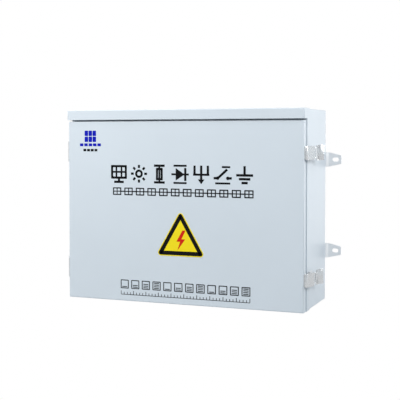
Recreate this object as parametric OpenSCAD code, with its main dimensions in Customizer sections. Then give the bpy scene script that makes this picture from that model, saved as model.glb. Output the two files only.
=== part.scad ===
// Wall-mounted sheet-steel combiner box for a photovoltaic string array.
// Frame: the wall is the plane y = 0 and the front faces -Y, +Z is up. The origin is
// the centre of the four wall slots. All sizes are in millimetres.

/* [Enclosure] */
// Overall width of the box, without the wall lugs
box_w = 650; // [640:10:900]
// Overall height of the box, without the cable glands
box_h = 500; // [490:10:800]
// Depth from the back panel to the front of the rain hood
box_d = 220; // [200:5:350]
// Sheet thickness of the body shell
shell_t = 1.5; // [1:0.1:2.5]
// Sheet thickness of the front frame and the rain hood
frame_t = 1.2; // [1:0.1:2]
// Outer bend radius of the folded sheet
bend_r = 2.5; // [2.2:0.1:5]
// Depth of the front frame's outer flange
frame_d = 27.5; // [20:0.5:40]
// Height of the rain hood's front lip
hood_lip = 26; // [18:1:40]

/* [Door] */
// Sheet thickness of the door
door_t = 1.5; // [1:0.1:2.5]
// Depth of the door's folded edge
door_d = 22.5; // [20:0.5:32]
// How far the door is narrower than the box at each side
door_inset = 2; // [1:0.5:5]
// How far the door's face lies behind the hood's lip
door_setback = 4; // [2:0.5:8]
// Gap between the hood's lip and the door's top edge
hood_gap = 4; // [3:0.5:10]
// Gap between the door's folded edge and the front frame
seam_gap = 1; // [0.5:0.1:3]
// Thickness of the door's foam gasket
gasket_t = 12; // [11:0.5:14]
// Distance of the hinges and latches from the door's middle
hardware_z = 155; // [100:5:250]

/* [Wall lugs] */
// Distance between the upper and lower wall slots
lug_pitch_z = 240; // [180:10:400]
// Distance of a wall slot from the box's side
lug_reach = 25; // [20:1:40]
// Thickness of the lug plate
lug_t = 3; // [2:0.5:5]
// Step that holds the box off the wall
lug_step = 5; // [4.5:0.5:12]
// Width of a lug where it meets the box
lug_root_w = 38; // [30:1:60]
// Width of a lug at its tip
lug_tip_w = 24; // [20:1:40]
// Width of the wall slot
slot_w = 10.6; // [7:0.1:13]
// End-to-end length of the wall slot
slot_l = 16.6; // [14:0.1:24]

/* [Hinges] */
// Length of a hinge along its pin
hinge_l = 53; // [40:1:90]
// Radius of the hinge barrel
barrel_r = 5.5; // [4.5:0.1:5.6]
// Radius of the hinge pin
hinge_pin_r = 2.5; // [1.5:0.1:3]
// Radial clearance of the hinge pin
pin_gap = 0.05; // [0.02:0.01:0.1]

/* [Toggle latches] */
// Width of the lever's handle
handle_w = 38; // [36:1:50]
// Distance from the lever's pivot to the bail's pivot
toggle_arm = 12; // [11:0.5:13]
// Height of the lever's pivot above the box's side
pivot_h = 9; // [8.5:0.5:10]

/* [Inside] */
// Width and depth of the gap between the box and the mounting plate's edge
plate_margin = 30; // [25:1:60]
// Distance of the mounting plate's back from the back panel's inside
plate_gap = 20.5; // [16:0.5:40]
// Thickness of the mounting plate
plate_t = 2; // [1.5:0.5:3]
// Number of strings, each with its own fuse
strings = 6; // [3:1:6]
// Pitch of the fuse holders and the surge modules
module_w = 18; // [17.5:0.1:20]
// Radius of a string cable gland's bore
gland_bore_r = 3.5; // [3:0.1:4]
// Radius of an output cable gland's bore
output_bore_r = 10; // [8:0.1:11]

/* [Hidden] */
$fn = 64;

// Planes of the enclosure, from the wall to the front
back_y = -(lug_step + lug_t);
hood_y = back_y - box_d;
door_y = hood_y + door_setback;
door_back_y = door_y + door_d;
frame_y = door_back_y + seam_gap;
frame_back_y = frame_y + frame_d;
lip_y = door_y + door_t + gasket_t + 0.3;
side_x = box_w / 2;
shell_x = side_x - frame_t;
shell_z = box_h / 2 - frame_t;
floor_z = -shell_z + shell_t;

// Outline of the door and of the opening behind it
door_w = box_w - 2 * door_inset;
door_top = box_h / 2 - hood_lip - hood_gap;
door_bottom = -box_h / 2 + 0.5;
door_h = door_top - door_bottom;
door_z = (door_top + door_bottom) / 2;
lip_inset = 22;
lip_w = door_w - 2 * lip_inset;
lip_h = door_h - 2 * lip_inset;
lip_corner = 8;
gasket_w = 14;

// Triangular hazard label on the lower half of the door, and the pocket behind it
label_side = 137;
label_corner = 8;
label_t = 0.4;
label_z = door_z - 71.25;
pocket_w = 220;
pocket_h = 150;
pocket_d = 9;
pocket_wall = 1.5;
pocket_z = door_z - 40;

// Wall lugs
lug_root_in = 36;
lug_tip_x = lug_reach + 15;
lug_bolt_in = 20;
lug_bolt_r = 4;

// Hinges: the pin stands at the seam, outside the box's left side
leaf_t = 2;
hinge_x = -side_x - barrel_r - 0.5;
hinge_y = frame_y - seam_gap / 2;
knuckle = (hinge_l - 2 * 0.4) / 3;
leaf_reach = 22;
hinge_screw_r = 2;
hinge_screw_z = hinge_l / 2 - 9;
door_screw_y = door_y + 9;
body_screw_y = frame_y + 14;

// Toggle latches: u runs from the lever's pivot towards the wall, v away from the side
latch_y = frame_y + 18.5;
latch_x = side_x + pivot_h;
catch_u = door_y + 6.5 - latch_y;
catch_v = -6;
catch_x = door_w / 2 - latch_x;
bead_r = 1.5;
hook_r = 2.2;
hook_t = 1.6;
bail_w = 34;
catch_w = 30;
lever_pin_r = 2;
bail_pin_r = 1.6;
toggle_v = -1;
ear_in = 9;
ear_t = 2;
cheek_in = ear_in + ear_t + 0.3;
arm_in = cheek_in + 2 + 0.9;
rivet_r = 2;
body_rivets = [[-10, 0], [22, -10], [22, 10]];
catch_rivets = [[catch_u + 6.5, -8], [catch_u + 6.5, 8]];

// Mounting plate and the devices on it. q is the distance in front of the plate.
plate_back_y = back_y - shell_t - plate_gap;
plate_y = plate_back_y - plate_t;
plate_w = box_w - 2 * plate_margin;
plate_h = box_h - 3 * plate_margin;
plate_z = -10;
plate_top = plate_z + plate_h / 2;
plate_bottom = plate_z - plate_h / 2;
stud_x = plate_w / 2 - 15;
stud_z = plate_h / 2 - 15;
stud_r = 3;

rail_h = 35;
rail_d = 7.5;
lower_rail_z = plate_bottom + 110;
upper_rail_z = plate_top - 70;
fuse_x = -plate_w / 2 + 40 + module_w / 2;
fuse_h = 80;
fuse_base_w = module_w - 0.4;
terminal_q = 18;
fuse_wall = 2;
fuse_pivot = [50, -17];
fuse_q = 34.7;
fuse_r = 5.15;
fuse_l = 38;
spd_x = fuse_x + strings * module_w + 24;
spd_h = 90;
spd_slot_q = 24;
sensor_z = lower_rail_z + fuse_h / 2 + 32;
sensor_h = 26;
bar_w = 24;
bar_t = 4;
bar_q = 26;
positive_z = sensor_z + 46;
negative_z = positive_z + 50;
bar_x0 = fuse_x - module_w / 2 - 28;
bar_x1 = spd_x + module_w + 15;
post_xs = [bar_x0 + 10, bar_x1 - 42];
link_x = bar_x1 - 12;
string_xs = [for (i = [0:strings - 1]) fuse_x + i * module_w];
bolt_r = 3;
bolt_z = 5;

monitor_w = 105;
monitor_h = 90;
monitor_x = spd_x + 64;
breaker_w = 142;
breaker_h = 165;
breaker_case_q = 64;
breaker_x = plate_w / 2 - 22 - breaker_w / 2;
breaker_z = plate_top - 72 - breaker_h / 2;
pole_w = breaker_w / 4;
handle_pivot_q = 58;
handle_tilt = 20;
terminal_floor_q = bar_q + bar_t;
terminal_screw_z = breaker_h / 2 - 11;
earth_x = breaker_x;
earth_z = plate_bottom + 34;
earth_l = 120;

// Wiring duct below the fuses, with a slot exactly below the middle surge module
duct_pitch = 12.5;
duct_slot = 6;
duct_h = 40;
duct_q = 45;
duct_z = earth_z;
duct_x0 = spd_x + module_w - 13.5 * duct_pitch;
duct_slots = 28;

// Wires run in planes in front of the plate, with round bends
wire_r = 2.6;
wire_bend = 7;
cable_r = 6.5;
cable_bend = 18;
cable_q = bar_q + bar_t + cable_r + 1;
lug_tongue_t = 2.4;
lug_reach_q = 26;

// Gland plate in the floor, near the wall
gland_plate_w = box_w - 90;
gland_plate_y = plate_y - 10;
gland_plate_d = 112;
gland_plate_t = 2;
gland_seal_t = 2;
gland_cut = 9;
gland_plate_z = floor_z + gland_seal_t;
gland_rows = [gland_plate_y - 22, gland_plate_y - 56];
gland_pitch = 26;
gland_x = -gland_plate_w / 2 + 36;
output_y = (gland_rows[0] + gland_rows[1]) / 2;
output_xs = [gland_plate_w / 2 - 50, gland_plate_w / 2 - 116];
small_glands = concat(
    [for (row = gland_rows) for (i = [0:strings - 1]) [gland_x + i * gland_pitch, row]],
    [for (row = gland_rows) [gland_x + (strings + 1) * gland_pitch, row]]);
big_glands = [for (x = output_xs) [x, output_y]];

// ---------------------------------------------------------------- helpers

// Profile in X and Y, from z0 to z1
module prism_z(z0, z1) {
    translate([0, 0, z0]) linear_extrude(z1 - z0) children();
}

// Profile in X and Z, from y0 to y1
module prism_y(y0, y1) {
    translate([0, y1, 0]) rotate([90, 0, 0]) linear_extrude(y1 - y0) children();
}

// Profile in Y and Z, from x0 to x1
module prism_x(x0, x1) {
    translate([x0, 0, 0]) rotate([90, 0, 90]) linear_extrude(x1 - x0) children();
}

module block(x0, x1, y0, y1, z0, z1) {
    translate([x0, y0, z0]) cube([x1 - x0, y1 - y0, z1 - z0]);
}

module rod_x(x0, x1, r, y, z) {
    translate([x0, y, z]) rotate([0, 90, 0]) cylinder(r = r, h = x1 - x0);
}

module rod_y(y0, y1, r, x, z) {
    translate([x, y1, z]) rotate([90, 0, 0]) cylinder(r = r, h = y1 - y0);
}

module rod_z(z0, z1, r, x = 0, y = 0) {
    translate([x, y, z0]) cylinder(r = r, h = z1 - z0);
}

module hex_y(y0, y1, across, x, z) {
    translate([x, y1, z]) rotate([90, 0, 0])
        cylinder(r = across / sqrt(3), h = y1 - y0, $fn = 6);
}

// Rectangle with true round corners
module rounded_rect(w, h, r) {
    square([w - 2 * r, h], center = true);
    square([w, h - 2 * r], center = true);
    for (x = [-1, 1], y = [-1, 1])
        translate([x * (w / 2 - r), y * (h / 2 - r)]) circle(r);
}

// Section of a folded tray: its face is at y = 0 and its edges run to y = d
module fold_section(w, d, r) {
    translate([-w / 2, r]) square([w, d - r]);
    translate([-w / 2 + r, 0]) square([w - 2 * r, d]);
    for (x = [-1, 1]) translate([x * (w / 2 - r), r]) circle(r);
}

// Solid block with its front edges rounded, as a folded tray has them
module folded_block(w, h, d, r) {
    intersection() {
        prism_z(-h / 2, h / 2) fold_section(w, d, r);
        rotate([0, 90, 0]) prism_z(-w / 2, w / 2) fold_section(h, d, r);
    }
}

function flip(points) = [for (p = points) [-p[0], p[1]]];

// Puts children on the mounting plate: y = 0 is the plate's front face
module on_plate(x, z) {
    translate([x, plate_y, z]) children();
}

// ---------------------------------------------------------------- enclosure

module shell_profile(inset) {
    rounded_rect(2 * (shell_x - inset), 2 * (shell_z - inset), max(bend_r - inset, 0.4));
}

module body_shell() {
    color("lightsteelblue") difference() {
        prism_y(frame_y + frame_t, back_y) shell_profile(0);
        prism_y(frame_y + frame_t - 1, back_y - shell_t) shell_profile(shell_t);
        for (x = [-1, 1], z = [-1, 1])
            rod_y(back_y - shell_t - 1, back_y + 1, lug_bolt_r + 0.2,
                  x * (side_x - lug_bolt_in), z * lug_pitch_z / 2);
        for (x = [-1, 1], z = [-1, 1])
            rod_y(back_y - shell_t - 1, back_y + 1, stud_r + 0.05,
                  x * stud_x, plate_z + z * stud_z);
        gland_opening(-shell_z - 1, floor_z + 1);
        gland_screw_holes(-shell_z - 1, floor_z + 1);
        latch_rivet_holes();
        hinge_screw_holes(body_screw_y);
    }
}

module front_frame() {
    color("lightsteelblue") difference() {
        union() {
            prism_y(frame_y, frame_back_y) rounded_rect(box_w, box_h, bend_r);
            translate([0, 0, door_z]) prism_y(lip_y, frame_y + frame_t)
                rounded_rect(lip_w, lip_h, lip_corner);
        }
        prism_y(frame_y + frame_t, frame_back_y + 1) shell_profile(0);
        translate([0, 0, door_z]) prism_y(lip_y - 1, frame_y + frame_t + 1)
            rounded_rect(lip_w - 2 * frame_t, lip_h - 2 * frame_t, lip_corner - frame_t);
        latch_rivet_holes();
        hinge_screw_holes(body_screw_y);
    }
}

module rain_hood() {
    hood_d = frame_y - hood_y;
    color("lightsteelblue") translate([0, hood_y, 0]) difference() {
        folded_block(box_w, box_h, hood_d, bend_r);
        translate([0, frame_t, 0])
            folded_block(box_w - 2 * frame_t, box_h - 2 * frame_t, hood_d, bend_r - frame_t);
        block(-box_w, box_w, -1, hood_d + 1, -box_h, box_h / 2 - hood_lip);
    }
}

// ---------------------------------------------------------------- wall lugs

module lug_outline() {
    root = lug_root_w / 2;
    tip = lug_tip_w / 2;
    corner = 4;
    straight = side_x + 6;
    end = side_x + lug_tip_x;
    polygon([[side_x - lug_root_in, -root], [straight, -root], [end - corner, -tip],
             [end - corner, tip], [straight, root], [side_x - lug_root_in, root]]);
    translate([end - corner - 1, -tip + corner]) square([corner + 1, lug_tip_w - 2 * corner]);
    for (s = [-1, 1]) translate([end - corner, s * (tip - corner)]) circle(corner);
}

// Section in X and Y: the root lies on the back panel, the ear lies on the wall
module lug_section() {
    bend = side_x + 1;
    polygon([[side_x - lug_root_in, back_y], [bend, back_y],
             [bend + lug_step, -lug_t], [side_x + lug_tip_x + 1, -lug_t],
             [side_x + lug_tip_x + 1, 0], [bend + lug_step - 1.2, 0],
             [bend - 1.2, back_y + lug_t], [side_x - lug_root_in, back_y + lug_t]]);
}

module wall_lug() {
    slot_run = slot_l / 2 - slot_w / 2;
    slot_x = side_x + lug_reach;
    difference() {
        intersection() {
            prism_y(back_y - 1, 1) lug_outline();
            prism_z(-lug_root_w, lug_root_w) lug_section();
        }
        for (s = [-1, 1]) rod_y(-lug_t - 1, 1, slot_w / 2, slot_x + s * slot_run, 0);
        block(slot_x - slot_run, slot_x + slot_run, -lug_t - 1, 1, -slot_w / 2, slot_w / 2);
        rod_y(back_y - 1, back_y + lug_t + 1, lug_bolt_r + 0.2, side_x - lug_bolt_in, 0);
    }
}

// Repeats children at the four lugs, mirrored to the left side
module at_lugs() {
    for (x = [0, 1], z = [-1, 1])
        translate([0, 0, z * lug_pitch_z / 2]) mirror([x, 0, 0]) children();
}

module wall_lugs() {
    color("gainsboro") at_lugs() wall_lug();
}

// Bolts with low heads behind the lugs, each with its washer and nut inside the box
module lug_bolts() {
    inner_y = back_y - shell_t;
    washer_t = 1.6;
    nut_h = 6.5;
    x = side_x - lug_bolt_in;
    color("silver") at_lugs() {
        rod_y(back_y + lug_t, back_y + lug_t + 4, 7, x, 0);
        rod_y(inner_y - washer_t - nut_h - 4, back_y + lug_t, lug_bolt_r, x, 0);
        difference() {
            union() {
                rod_y(inner_y - washer_t, inner_y, 8, x, 0);
                hex_y(inner_y - washer_t - nut_h, inner_y - washer_t, 13, x, 0);
            }
            rod_y(inner_y - 12, inner_y + 1, lug_bolt_r + 0.05, x, 0);
        }
    }
}

// ---------------------------------------------------------------- gland plate

module gland_opening(z0, z1) {
    block(-gland_plate_w / 2 + gland_cut, gland_plate_w / 2 - gland_cut,
          gland_plate_y - gland_plate_d + gland_cut, gland_plate_y - gland_cut, z0, z1);
}

function gland_screws() = [
    for (x = [-1, -1 / 3, 1 / 3, 1], y = [0, 1])
        [x * (gland_plate_w / 2 - 4.5), gland_plate_y - 4.5 - y * (gland_plate_d - 9)]];

module gland_screw_holes(z0, z1) {
    for (p = gland_screws()) rod_z(z0, z1, 2.2, p[0], p[1]);
}

module gland_plate_outline(z0, z1) {
    block(-gland_plate_w / 2, gland_plate_w / 2,
          gland_plate_y - gland_plate_d, gland_plate_y, z0, z1);
}

module gland_plate() {
    top = gland_plate_z + gland_plate_t;
    color("gainsboro") difference() {
        gland_plate_outline(gland_plate_z, top);
        gland_screw_holes(gland_plate_z - 1, top + 1);
        for (p = small_glands) rod_z(gland_plate_z - 1, top + 1, 8.1, p[0], p[1]);
        for (p = big_glands) rod_z(gland_plate_z - 1, top + 1, 16.1, p[0], p[1]);
    }
}

module gland_plate_seal() {
    color("dimgray") difference() {
        gland_plate_outline(floor_z, gland_plate_z);
        gland_opening(floor_z - 1, gland_plate_z + 1);
        gland_screw_holes(floor_z - 1, gland_plate_z + 1);
    }
}

module gland_plate_screws() {
    top = gland_plate_z + gland_plate_t;
    color("silver") for (p = gland_screws()) {
        rod_z(top, top + 2.4, 4, p[0], p[1]);
        rod_z(-shell_z - 3, top, 2, p[0], p[1]);
    }
}

// One gland: body through the plate, locknut above it, domed nut and seal below
module gland(r, bore_r, across, nut_l, plugged) {
    z = gland_plate_z;
    color("darkslategray") difference() {
        union() {
            rod_z(z - 6 - nut_l * 0.5, z + gland_plate_t + 8, r);
            translate([0, 0, z - 6]) cylinder(r = across / sqrt(3), h = 6, $fn = 6);
        }
        rod_z(z - 40, z + 20, bore_r + (plugged ? 1.5 : 2));
    }
    color("black") difference() {
        translate([0, 0, z + gland_plate_t])
            cylinder(r = across / sqrt(3), h = 4, $fn = 6);
        rod_z(z, z + 20, r + 0.05);
    }
    color("darkslategray") difference() {
        union() {
            translate([0, 0, z - 6.3 - nut_l * 0.55])
                cylinder(r = across / sqrt(3), h = nut_l * 0.55, $fn = 6);
            translate([0, 0, z - 6.3 - nut_l])
                cylinder(r1 = bore_r + 2.4, r2 = across / 2 - 0.4, h = nut_l * 0.45);
        }
        rod_z(z - 6.3 - nut_l * 0.5 - 0.4, z, r + 0.05);
        rod_z(z - 60, z, bore_r);
    }
    if (plugged)
        color("firebrick") {
            rod_z(z - 6.3 - nut_l, z - 6.3 - nut_l * 0.3, bore_r);
            rod_z(z - 7.9 - nut_l, z - 6.3 - nut_l, bore_r + 1.2);
        }
}

module string_glands() {
    for (p = small_glands)
        translate([p[0], p[1], 0]) gland(8, gland_bore_r, 19, 13, true);
}

module output_glands() {
    for (p = big_glands)
        translate([p[0], p[1], 0]) gland(16, output_bore_r, 36, 20, false);
}

// ---------------------------------------------------------------- door

module door_panel() {
    color("lightsteelblue") difference() {
        translate([0, door_y, door_z]) difference() {
            folded_block(door_w, door_h, door_d, bend_r);
            translate([0, door_t, 0])
                folded_block(door_w - 2 * door_t, door_h - 2 * door_t, door_d, bend_r - door_t);
        }
        hinge_screw_holes(door_screw_y);
        catch_rivet_holes();
    }
}

// Two hat channels on the inside of the door
module door_stiffeners() {
    inner_y = door_y + door_t;
    depth = 9;
    half_l = lip_h / 2 - 24;
    color("gainsboro") for (s = [-1, 1])
        translate([s * (lip_w / 2 - 34), inner_y, door_z]) difference() {
            union() {
                block(-18, 18, 0, 1, -half_l, half_l);
                block(-10, 10, 0, depth, -half_l, half_l);
            }
            block(-9, 9, -1, depth - 1, -half_l - 1, half_l + 1);
            for (z = [-half_l + 16 : 32 : half_l - 16]) rod_y(depth - 2, depth + 1, 4, 0, z);
        }
}

module door_gasket() {
    inner_y = door_y + door_t;
    color("dimgray") translate([0, 0, door_z]) difference() {
        prism_y(inner_y, inner_y + gasket_t) rounded_rect(lip_w + gasket_w, lip_h + gasket_w, 12);
        prism_y(inner_y - 1, inner_y + gasket_t + 1)
            rounded_rect(lip_w - gasket_w, lip_h - gasket_w, 6);
    }
}

// Equilateral triangle with round corners, standing on its base
module round_triangle(side, r) {
    reach = side / sqrt(3) - 2 * r;
    hull() for (a = [0, 120, 240]) rotate(a) translate([0, reach]) circle(r, $fn = 32);
}

module hazard_label() {
    color("gold") translate([0, 0, label_z])
        prism_y(door_y - label_t, door_y) round_triangle(label_side, label_corner);
}

module drawing_pocket() {
    half_w = pocket_w / 2;
    half_h = pocket_h / 2;
    thumb_r = 34;
    color("gray") translate([0, door_y + door_t, pocket_z]) difference() {
        block(-half_w, half_w, 0, pocket_d, -half_h, half_h);
        block(-half_w + pocket_wall, half_w - pocket_wall, pocket_wall, pocket_d - pocket_wall,
              -half_h + pocket_wall, half_h + 1);
        rod_y(pocket_d - pocket_wall - 0.5, pocket_d + 1, thumb_r, 0, half_h);
    }
}

// ---------------------------------------------------------------- hinges

module at_hinges() {
    for (z = [-1, 1]) translate([0, 0, door_z + z * hardware_z]) children();
}

module barrel(z0, z1) {
    rod_z(z0, z1, barrel_r, hinge_x, hinge_y);
}

module pin_bore() {
    rod_z(-hinge_l, hinge_l, hinge_pin_r + pin_gap, hinge_x, hinge_y);
}

module hinge_screw_holes(y) {
    at_hinges() for (z = [-1, 1])
        rod_x(-side_x - 6, -side_x + 8, hinge_screw_r + 0.15, y, z * hinge_screw_z);
}

module body_leaf() {
    half = hinge_l / 2;
    difference() {
        union() {
            for (s = [0, 1]) mirror([0, 0, s]) barrel(half - knuckle, half);
            block(-side_x - leaf_t, -side_x, frame_y, frame_y + leaf_reach, -half, half);
        }
        pin_bore();
        rod_z(-half + knuckle - 0.4, half - knuckle + 0.4, barrel_r + 0.4, hinge_x, hinge_y);
        for (z = [-1, 1])
            rod_x(-side_x - 6, -side_x + 8, hinge_screw_r + 0.15, body_screw_y,
                  z * hinge_screw_z);
    }
}

module door_leaf() {
    half = hinge_l / 2;
    inner = half - knuckle;
    door_x = -door_w / 2;
    difference() {
        union() {
            barrel(-inner + 0.4, inner - 0.4);
            prism_z(-inner + 0.4, inner - 0.4)
                polygon([[door_x - leaf_t, hinge_y - 2 * barrel_r],
                         [hinge_x - barrel_r * 0.7, hinge_y - barrel_r * 0.7],
                         [hinge_x, hinge_y],
                         [door_x - leaf_t, hinge_y - 2]]);
            block(door_x - leaf_t, door_x, door_y + 2.5, door_back_y, -half, half);
        }
        pin_bore();
        for (z = [-1, 1])
            rod_x(-side_x - 6, -side_x + 8, hinge_screw_r + 0.15, door_screw_y,
                  z * hinge_screw_z);
    }
}

module hinge_body_leaves() {
    color("silver") at_hinges() body_leaf();
}

module hinge_door_leaves() {
    color("silver") at_hinges() door_leaf();
}

module hinge_pins() {
    half = hinge_l / 2;
    color("silver") at_hinges() {
        rod_z(-half - 1.5, half, hinge_pin_r, hinge_x, hinge_y);
        rod_z(half, half + 1.5, hinge_pin_r + 1.2, hinge_x, hinge_y);
    }
}

// Low-headed screws through a leaf on the left side, with a nut inside
module side_screw(face_x, y, grip) {
    rod_x(face_x - 1.6, face_x, 3.4, y, 0);
    rod_x(face_x, face_x + grip + 3.6, hinge_screw_r, y, 0);
    translate([face_x + grip, y, 0]) rotate([0, 90, 0]) difference() {
        cylinder(r = 7 / sqrt(3), h = 3, $fn = 6);
        translate([0, 0, -1]) cylinder(r = hinge_screw_r + 0.03, h = 5);
    }
}

module hinge_body_screws() {
    color("silver") at_hinges() for (z = [-1, 1]) translate([0, 0, z * hinge_screw_z])
        side_screw(-side_x - leaf_t, body_screw_y, leaf_t + frame_t + shell_t);
}

module hinge_door_screws() {
    color("silver") at_hinges() for (z = [-1, 1]) translate([0, 0, z * hinge_screw_z])
        side_screw(-door_w / 2 - leaf_t, door_screw_y, leaf_t + door_t);
}

// ---------------------------------------------------------------- toggle latches

// Latch profiles are drawn in [v, u] and extruded along the lever's pin
module at_latch(s) {
    translate([latch_x, latch_y, door_z + s * hardware_z]) children();
}

module both_sides(z0, z1) {
    for (s = [0, 1]) mirror([0, 0, s]) prism_z(z0, z1) children();
}

module latch_rivet_holes() {
    for (s = [-1, 1]) at_latch(s) for (p = body_rivets)
        rod_x(-pivot_h - 6, 0, rivet_r + 0.1, p[0], p[1]);
}

module catch_rivet_holes() {
    for (s = [-1, 1]) at_latch(s) for (p = catch_rivets)
        rod_x(catch_x - 4, catch_x + 1, rivet_r - 0.4, p[0], p[1]);
}

module latch_base() {
    foot = -pivot_h;
    step = frame_back_y - latch_y;
    color("lightgray") difference() {
        union() {
            prism_z(-16, 16) polygon([
                [foot, -15], [foot, step + 0.5], [foot - frame_t, step + 0.5],
                [foot - frame_t, 30], [foot + 2 - frame_t, 30],
                [foot + 2 - frame_t, step + 3], [foot + 2, step + 1], [foot + 2, -15]]);
            both_sides(ear_in, ear_in + ear_t) {
                polygon([[foot + 1, -6], [foot + 1, 6], [0, 4], [0, -4]]);
                circle(4);
            }
        }
        for (p = body_rivets) rod_x(foot - 6, 0, rivet_r + 0.1, p[0], p[1]);
    }
    color("lightgray") rod_z(-cheek_in - 2.2, cheek_in + 2.2, lever_pin_r);
}

module latch_lever() {
    plate_t = 1.6;
    wide_u = 24;
    end_u = 52;
    color("silver") difference() {
        union() {
            both_sides(cheek_in, cheek_in + 2) {
                circle(4);
                translate([toggle_v, toggle_arm]) circle(4);
                polygon([[-4, 0], [toggle_v - 4, toggle_arm], [0, wide_u + 4],
                         [4.6, wide_u + 4], [4.6, 14], [4, 0]]);
            }
            prism_z(-cheek_in - 2, cheek_in + 2)
                polygon([[3, 17], [3, wide_u + 1], [4.6, wide_u + 1], [4.6, 17]]);
            prism_z(-handle_w / 2, handle_w / 2) handle_section(wide_u, end_u, plate_t);
        }
        rod_z(-30, 30, lever_pin_r + 0.05);
    }
    color("silver") rod_z(-arm_in - 2.2, arm_in + 2.2, bail_pin_r, toggle_v, toggle_arm);
}

// Handle plate: straight, then turned outwards along an arc to its tip
module handle_section(start, end, t) {
    turn_r = 22;
    turn_u = end - turn_r * sin(60);
    base = 4.6;
    polygon([[base - t, start], [base, start], [base, turn_u], [base - t, turn_u]]);
    translate([base + turn_r, turn_u]) difference() {
        circle(turn_r + t);
        circle(turn_r);
        translate([0, -2 * turn_r]) square([2 * turn_r, 4 * turn_r]);
        translate([-2 * turn_r, -4 * turn_r]) square([4 * turn_r, 4 * turn_r]);
        rotate(-60) translate([-2 * turn_r, 0]) square([4 * turn_r, 4 * turn_r]);
    }
}

// Sheet bail with a rolled hook that holds the catch's bead
module latch_bail() {
    rear_u = -2;
    rear_v = 5;
    hook_v = catch_v + hook_r;
    color("silver") difference() {
        union() {
            prism_z(-bail_w / 2, bail_w / 2) {
                polygon([[hook_v, catch_u], [rear_v, rear_u],
                         [rear_v + hook_t, rear_u], [hook_v + hook_t, catch_u]]);
                intersection() {
                    translate([catch_v, catch_u]) difference() {
                        circle(hook_r + hook_t);
                        circle(hook_r);
                    }
                    translate([catch_v - 1.2, catch_u - 6]) square([8, 6.01]);
                }
            }
            both_sides(arm_in, bail_w / 2) {
                polygon([[2.3, -12], [rear_v + hook_t, rear_u], [toggle_v + 3, toggle_arm + 1.8],
                         [toggle_v - 3, toggle_arm - 1.8]]);
                translate([toggle_v, toggle_arm]) circle(3.5);
            }
        }
        rod_z(-30, 30, bail_pin_r + 0.05, toggle_v, toggle_arm);
    }
}

module latch_catch() {
    color("lightgray") difference() {
        prism_z(-catch_w / 2, catch_w / 2) {
            polygon([[catch_x, catch_u - 4.5], [catch_x, catch_u + 11.5],
                     [catch_x + 1.6, catch_u + 11.5], [catch_x + 1.6, catch_u - 4.5]]);
            polygon([[catch_x + 1, catch_u - 0.2], [catch_x + 1, catch_u + 1.4],
                     [catch_v, catch_u + 1.4], [catch_v, catch_u - 0.2]]);
            translate([catch_v, catch_u]) circle(bead_r);
        }
        for (p = catch_rivets) rod_x(catch_x - 4, catch_x + 2, rivet_r - 0.4, p[0], p[1]);
    }
}

module latch_catches() {
    for (s = [-1, 1]) at_latch(s) latch_catch();
}

// Blind rivets: a low head outside and a swollen end inside the sheet
module latch_base_rivets() {
    foot = -pivot_h;
    color("silver") for (s = [-1, 1]) at_latch(s) for (p = body_rivets) {
        drop = p[0] > 0 ? frame_t : 0;
        rod_x(foot + 2 - drop, foot + 3.4 - drop, rivet_r + 1.6, p[0], p[1]);
        rod_x(foot - frame_t - shell_t, foot + 2 - drop, rivet_r + 0.05, p[0], p[1]);
        rod_x(foot - frame_t - shell_t - 3, foot - frame_t - shell_t, rivet_r + 1, p[0], p[1]);
    }
}

module latch_catch_rivets() {
    color("silver") for (s = [-1, 1]) at_latch(s) for (p = catch_rivets) {
        rod_x(catch_x + 1.6, catch_x + 2.4, rivet_r + 0.6, p[0], p[1]);
        rod_x(catch_x - door_t, catch_x + 1.6, rivet_r - 0.45, p[0], p[1]);
        rod_x(catch_x - door_t - 2.4, catch_x - door_t, rivet_r + 0.4, p[0], p[1]);
    }
}

// ---------------------------------------------------------------- mounting plate

module mounting_plate() {
    color("silver") translate([0, 0, plate_z]) difference() {
        prism_y(plate_y, plate_back_y) rounded_rect(plate_w, plate_h, 6);
        for (x = [-1, 1], z = [-1, 1])
            rod_y(plate_y - 1, plate_back_y + 1, stud_r + 0.2, x * stud_x, z * stud_z);
    }
}

module at_studs() {
    for (x = [-1, 1], z = [-1, 1]) translate([x * stud_x, 0, plate_z + z * stud_z]) children();
}

// Studs through the back panel, each with its spacer sleeve and its nut
module plate_studs() {
    color("silver") at_studs() {
        rod_y(plate_y - 12, back_y, stud_r, 0, 0);
        difference() {
            union() {
                rod_y(plate_y - 1.4, plate_y, 6, 0, 0);
                hex_y(plate_y - 6.4, plate_y - 1.4, 10, 0, 0);
            }
            rod_y(plate_y - 13, plate_y + 1, stud_r + 0.03, 0, 0);
        }
        difference() {
            rod_y(plate_back_y, back_y - shell_t, 7, 0, 0);
            rod_y(plate_back_y - 1, back_y, stud_r + 0.2, 0, 0);
        }
    }
}

module rail(x0, x1, z) {
    half = rail_h / 2;
    hat = 13.5;
    translate([0, plate_y, z]) prism_x(x0, x1) polygon(flip([
        [0, -hat + 1], [0, hat - 1], [rail_d - 1, hat - 1], [rail_d - 1, half],
        [rail_d, half], [rail_d, hat - 2], [1, hat - 2], [1, -hat + 2],
        [rail_d, -hat + 2], [rail_d, -half], [rail_d - 1, -half],
        [rail_d - 1, -hat + 1]]));
}

module din_rails() {
    color("silver") {
        rail(fuse_x - module_w, spd_x + 3 * module_w, lower_rail_z);
        rail(monitor_x - monitor_w / 2 - 12, monitor_x + monitor_w / 2 + 12, upper_rail_z);
    }
}

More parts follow.
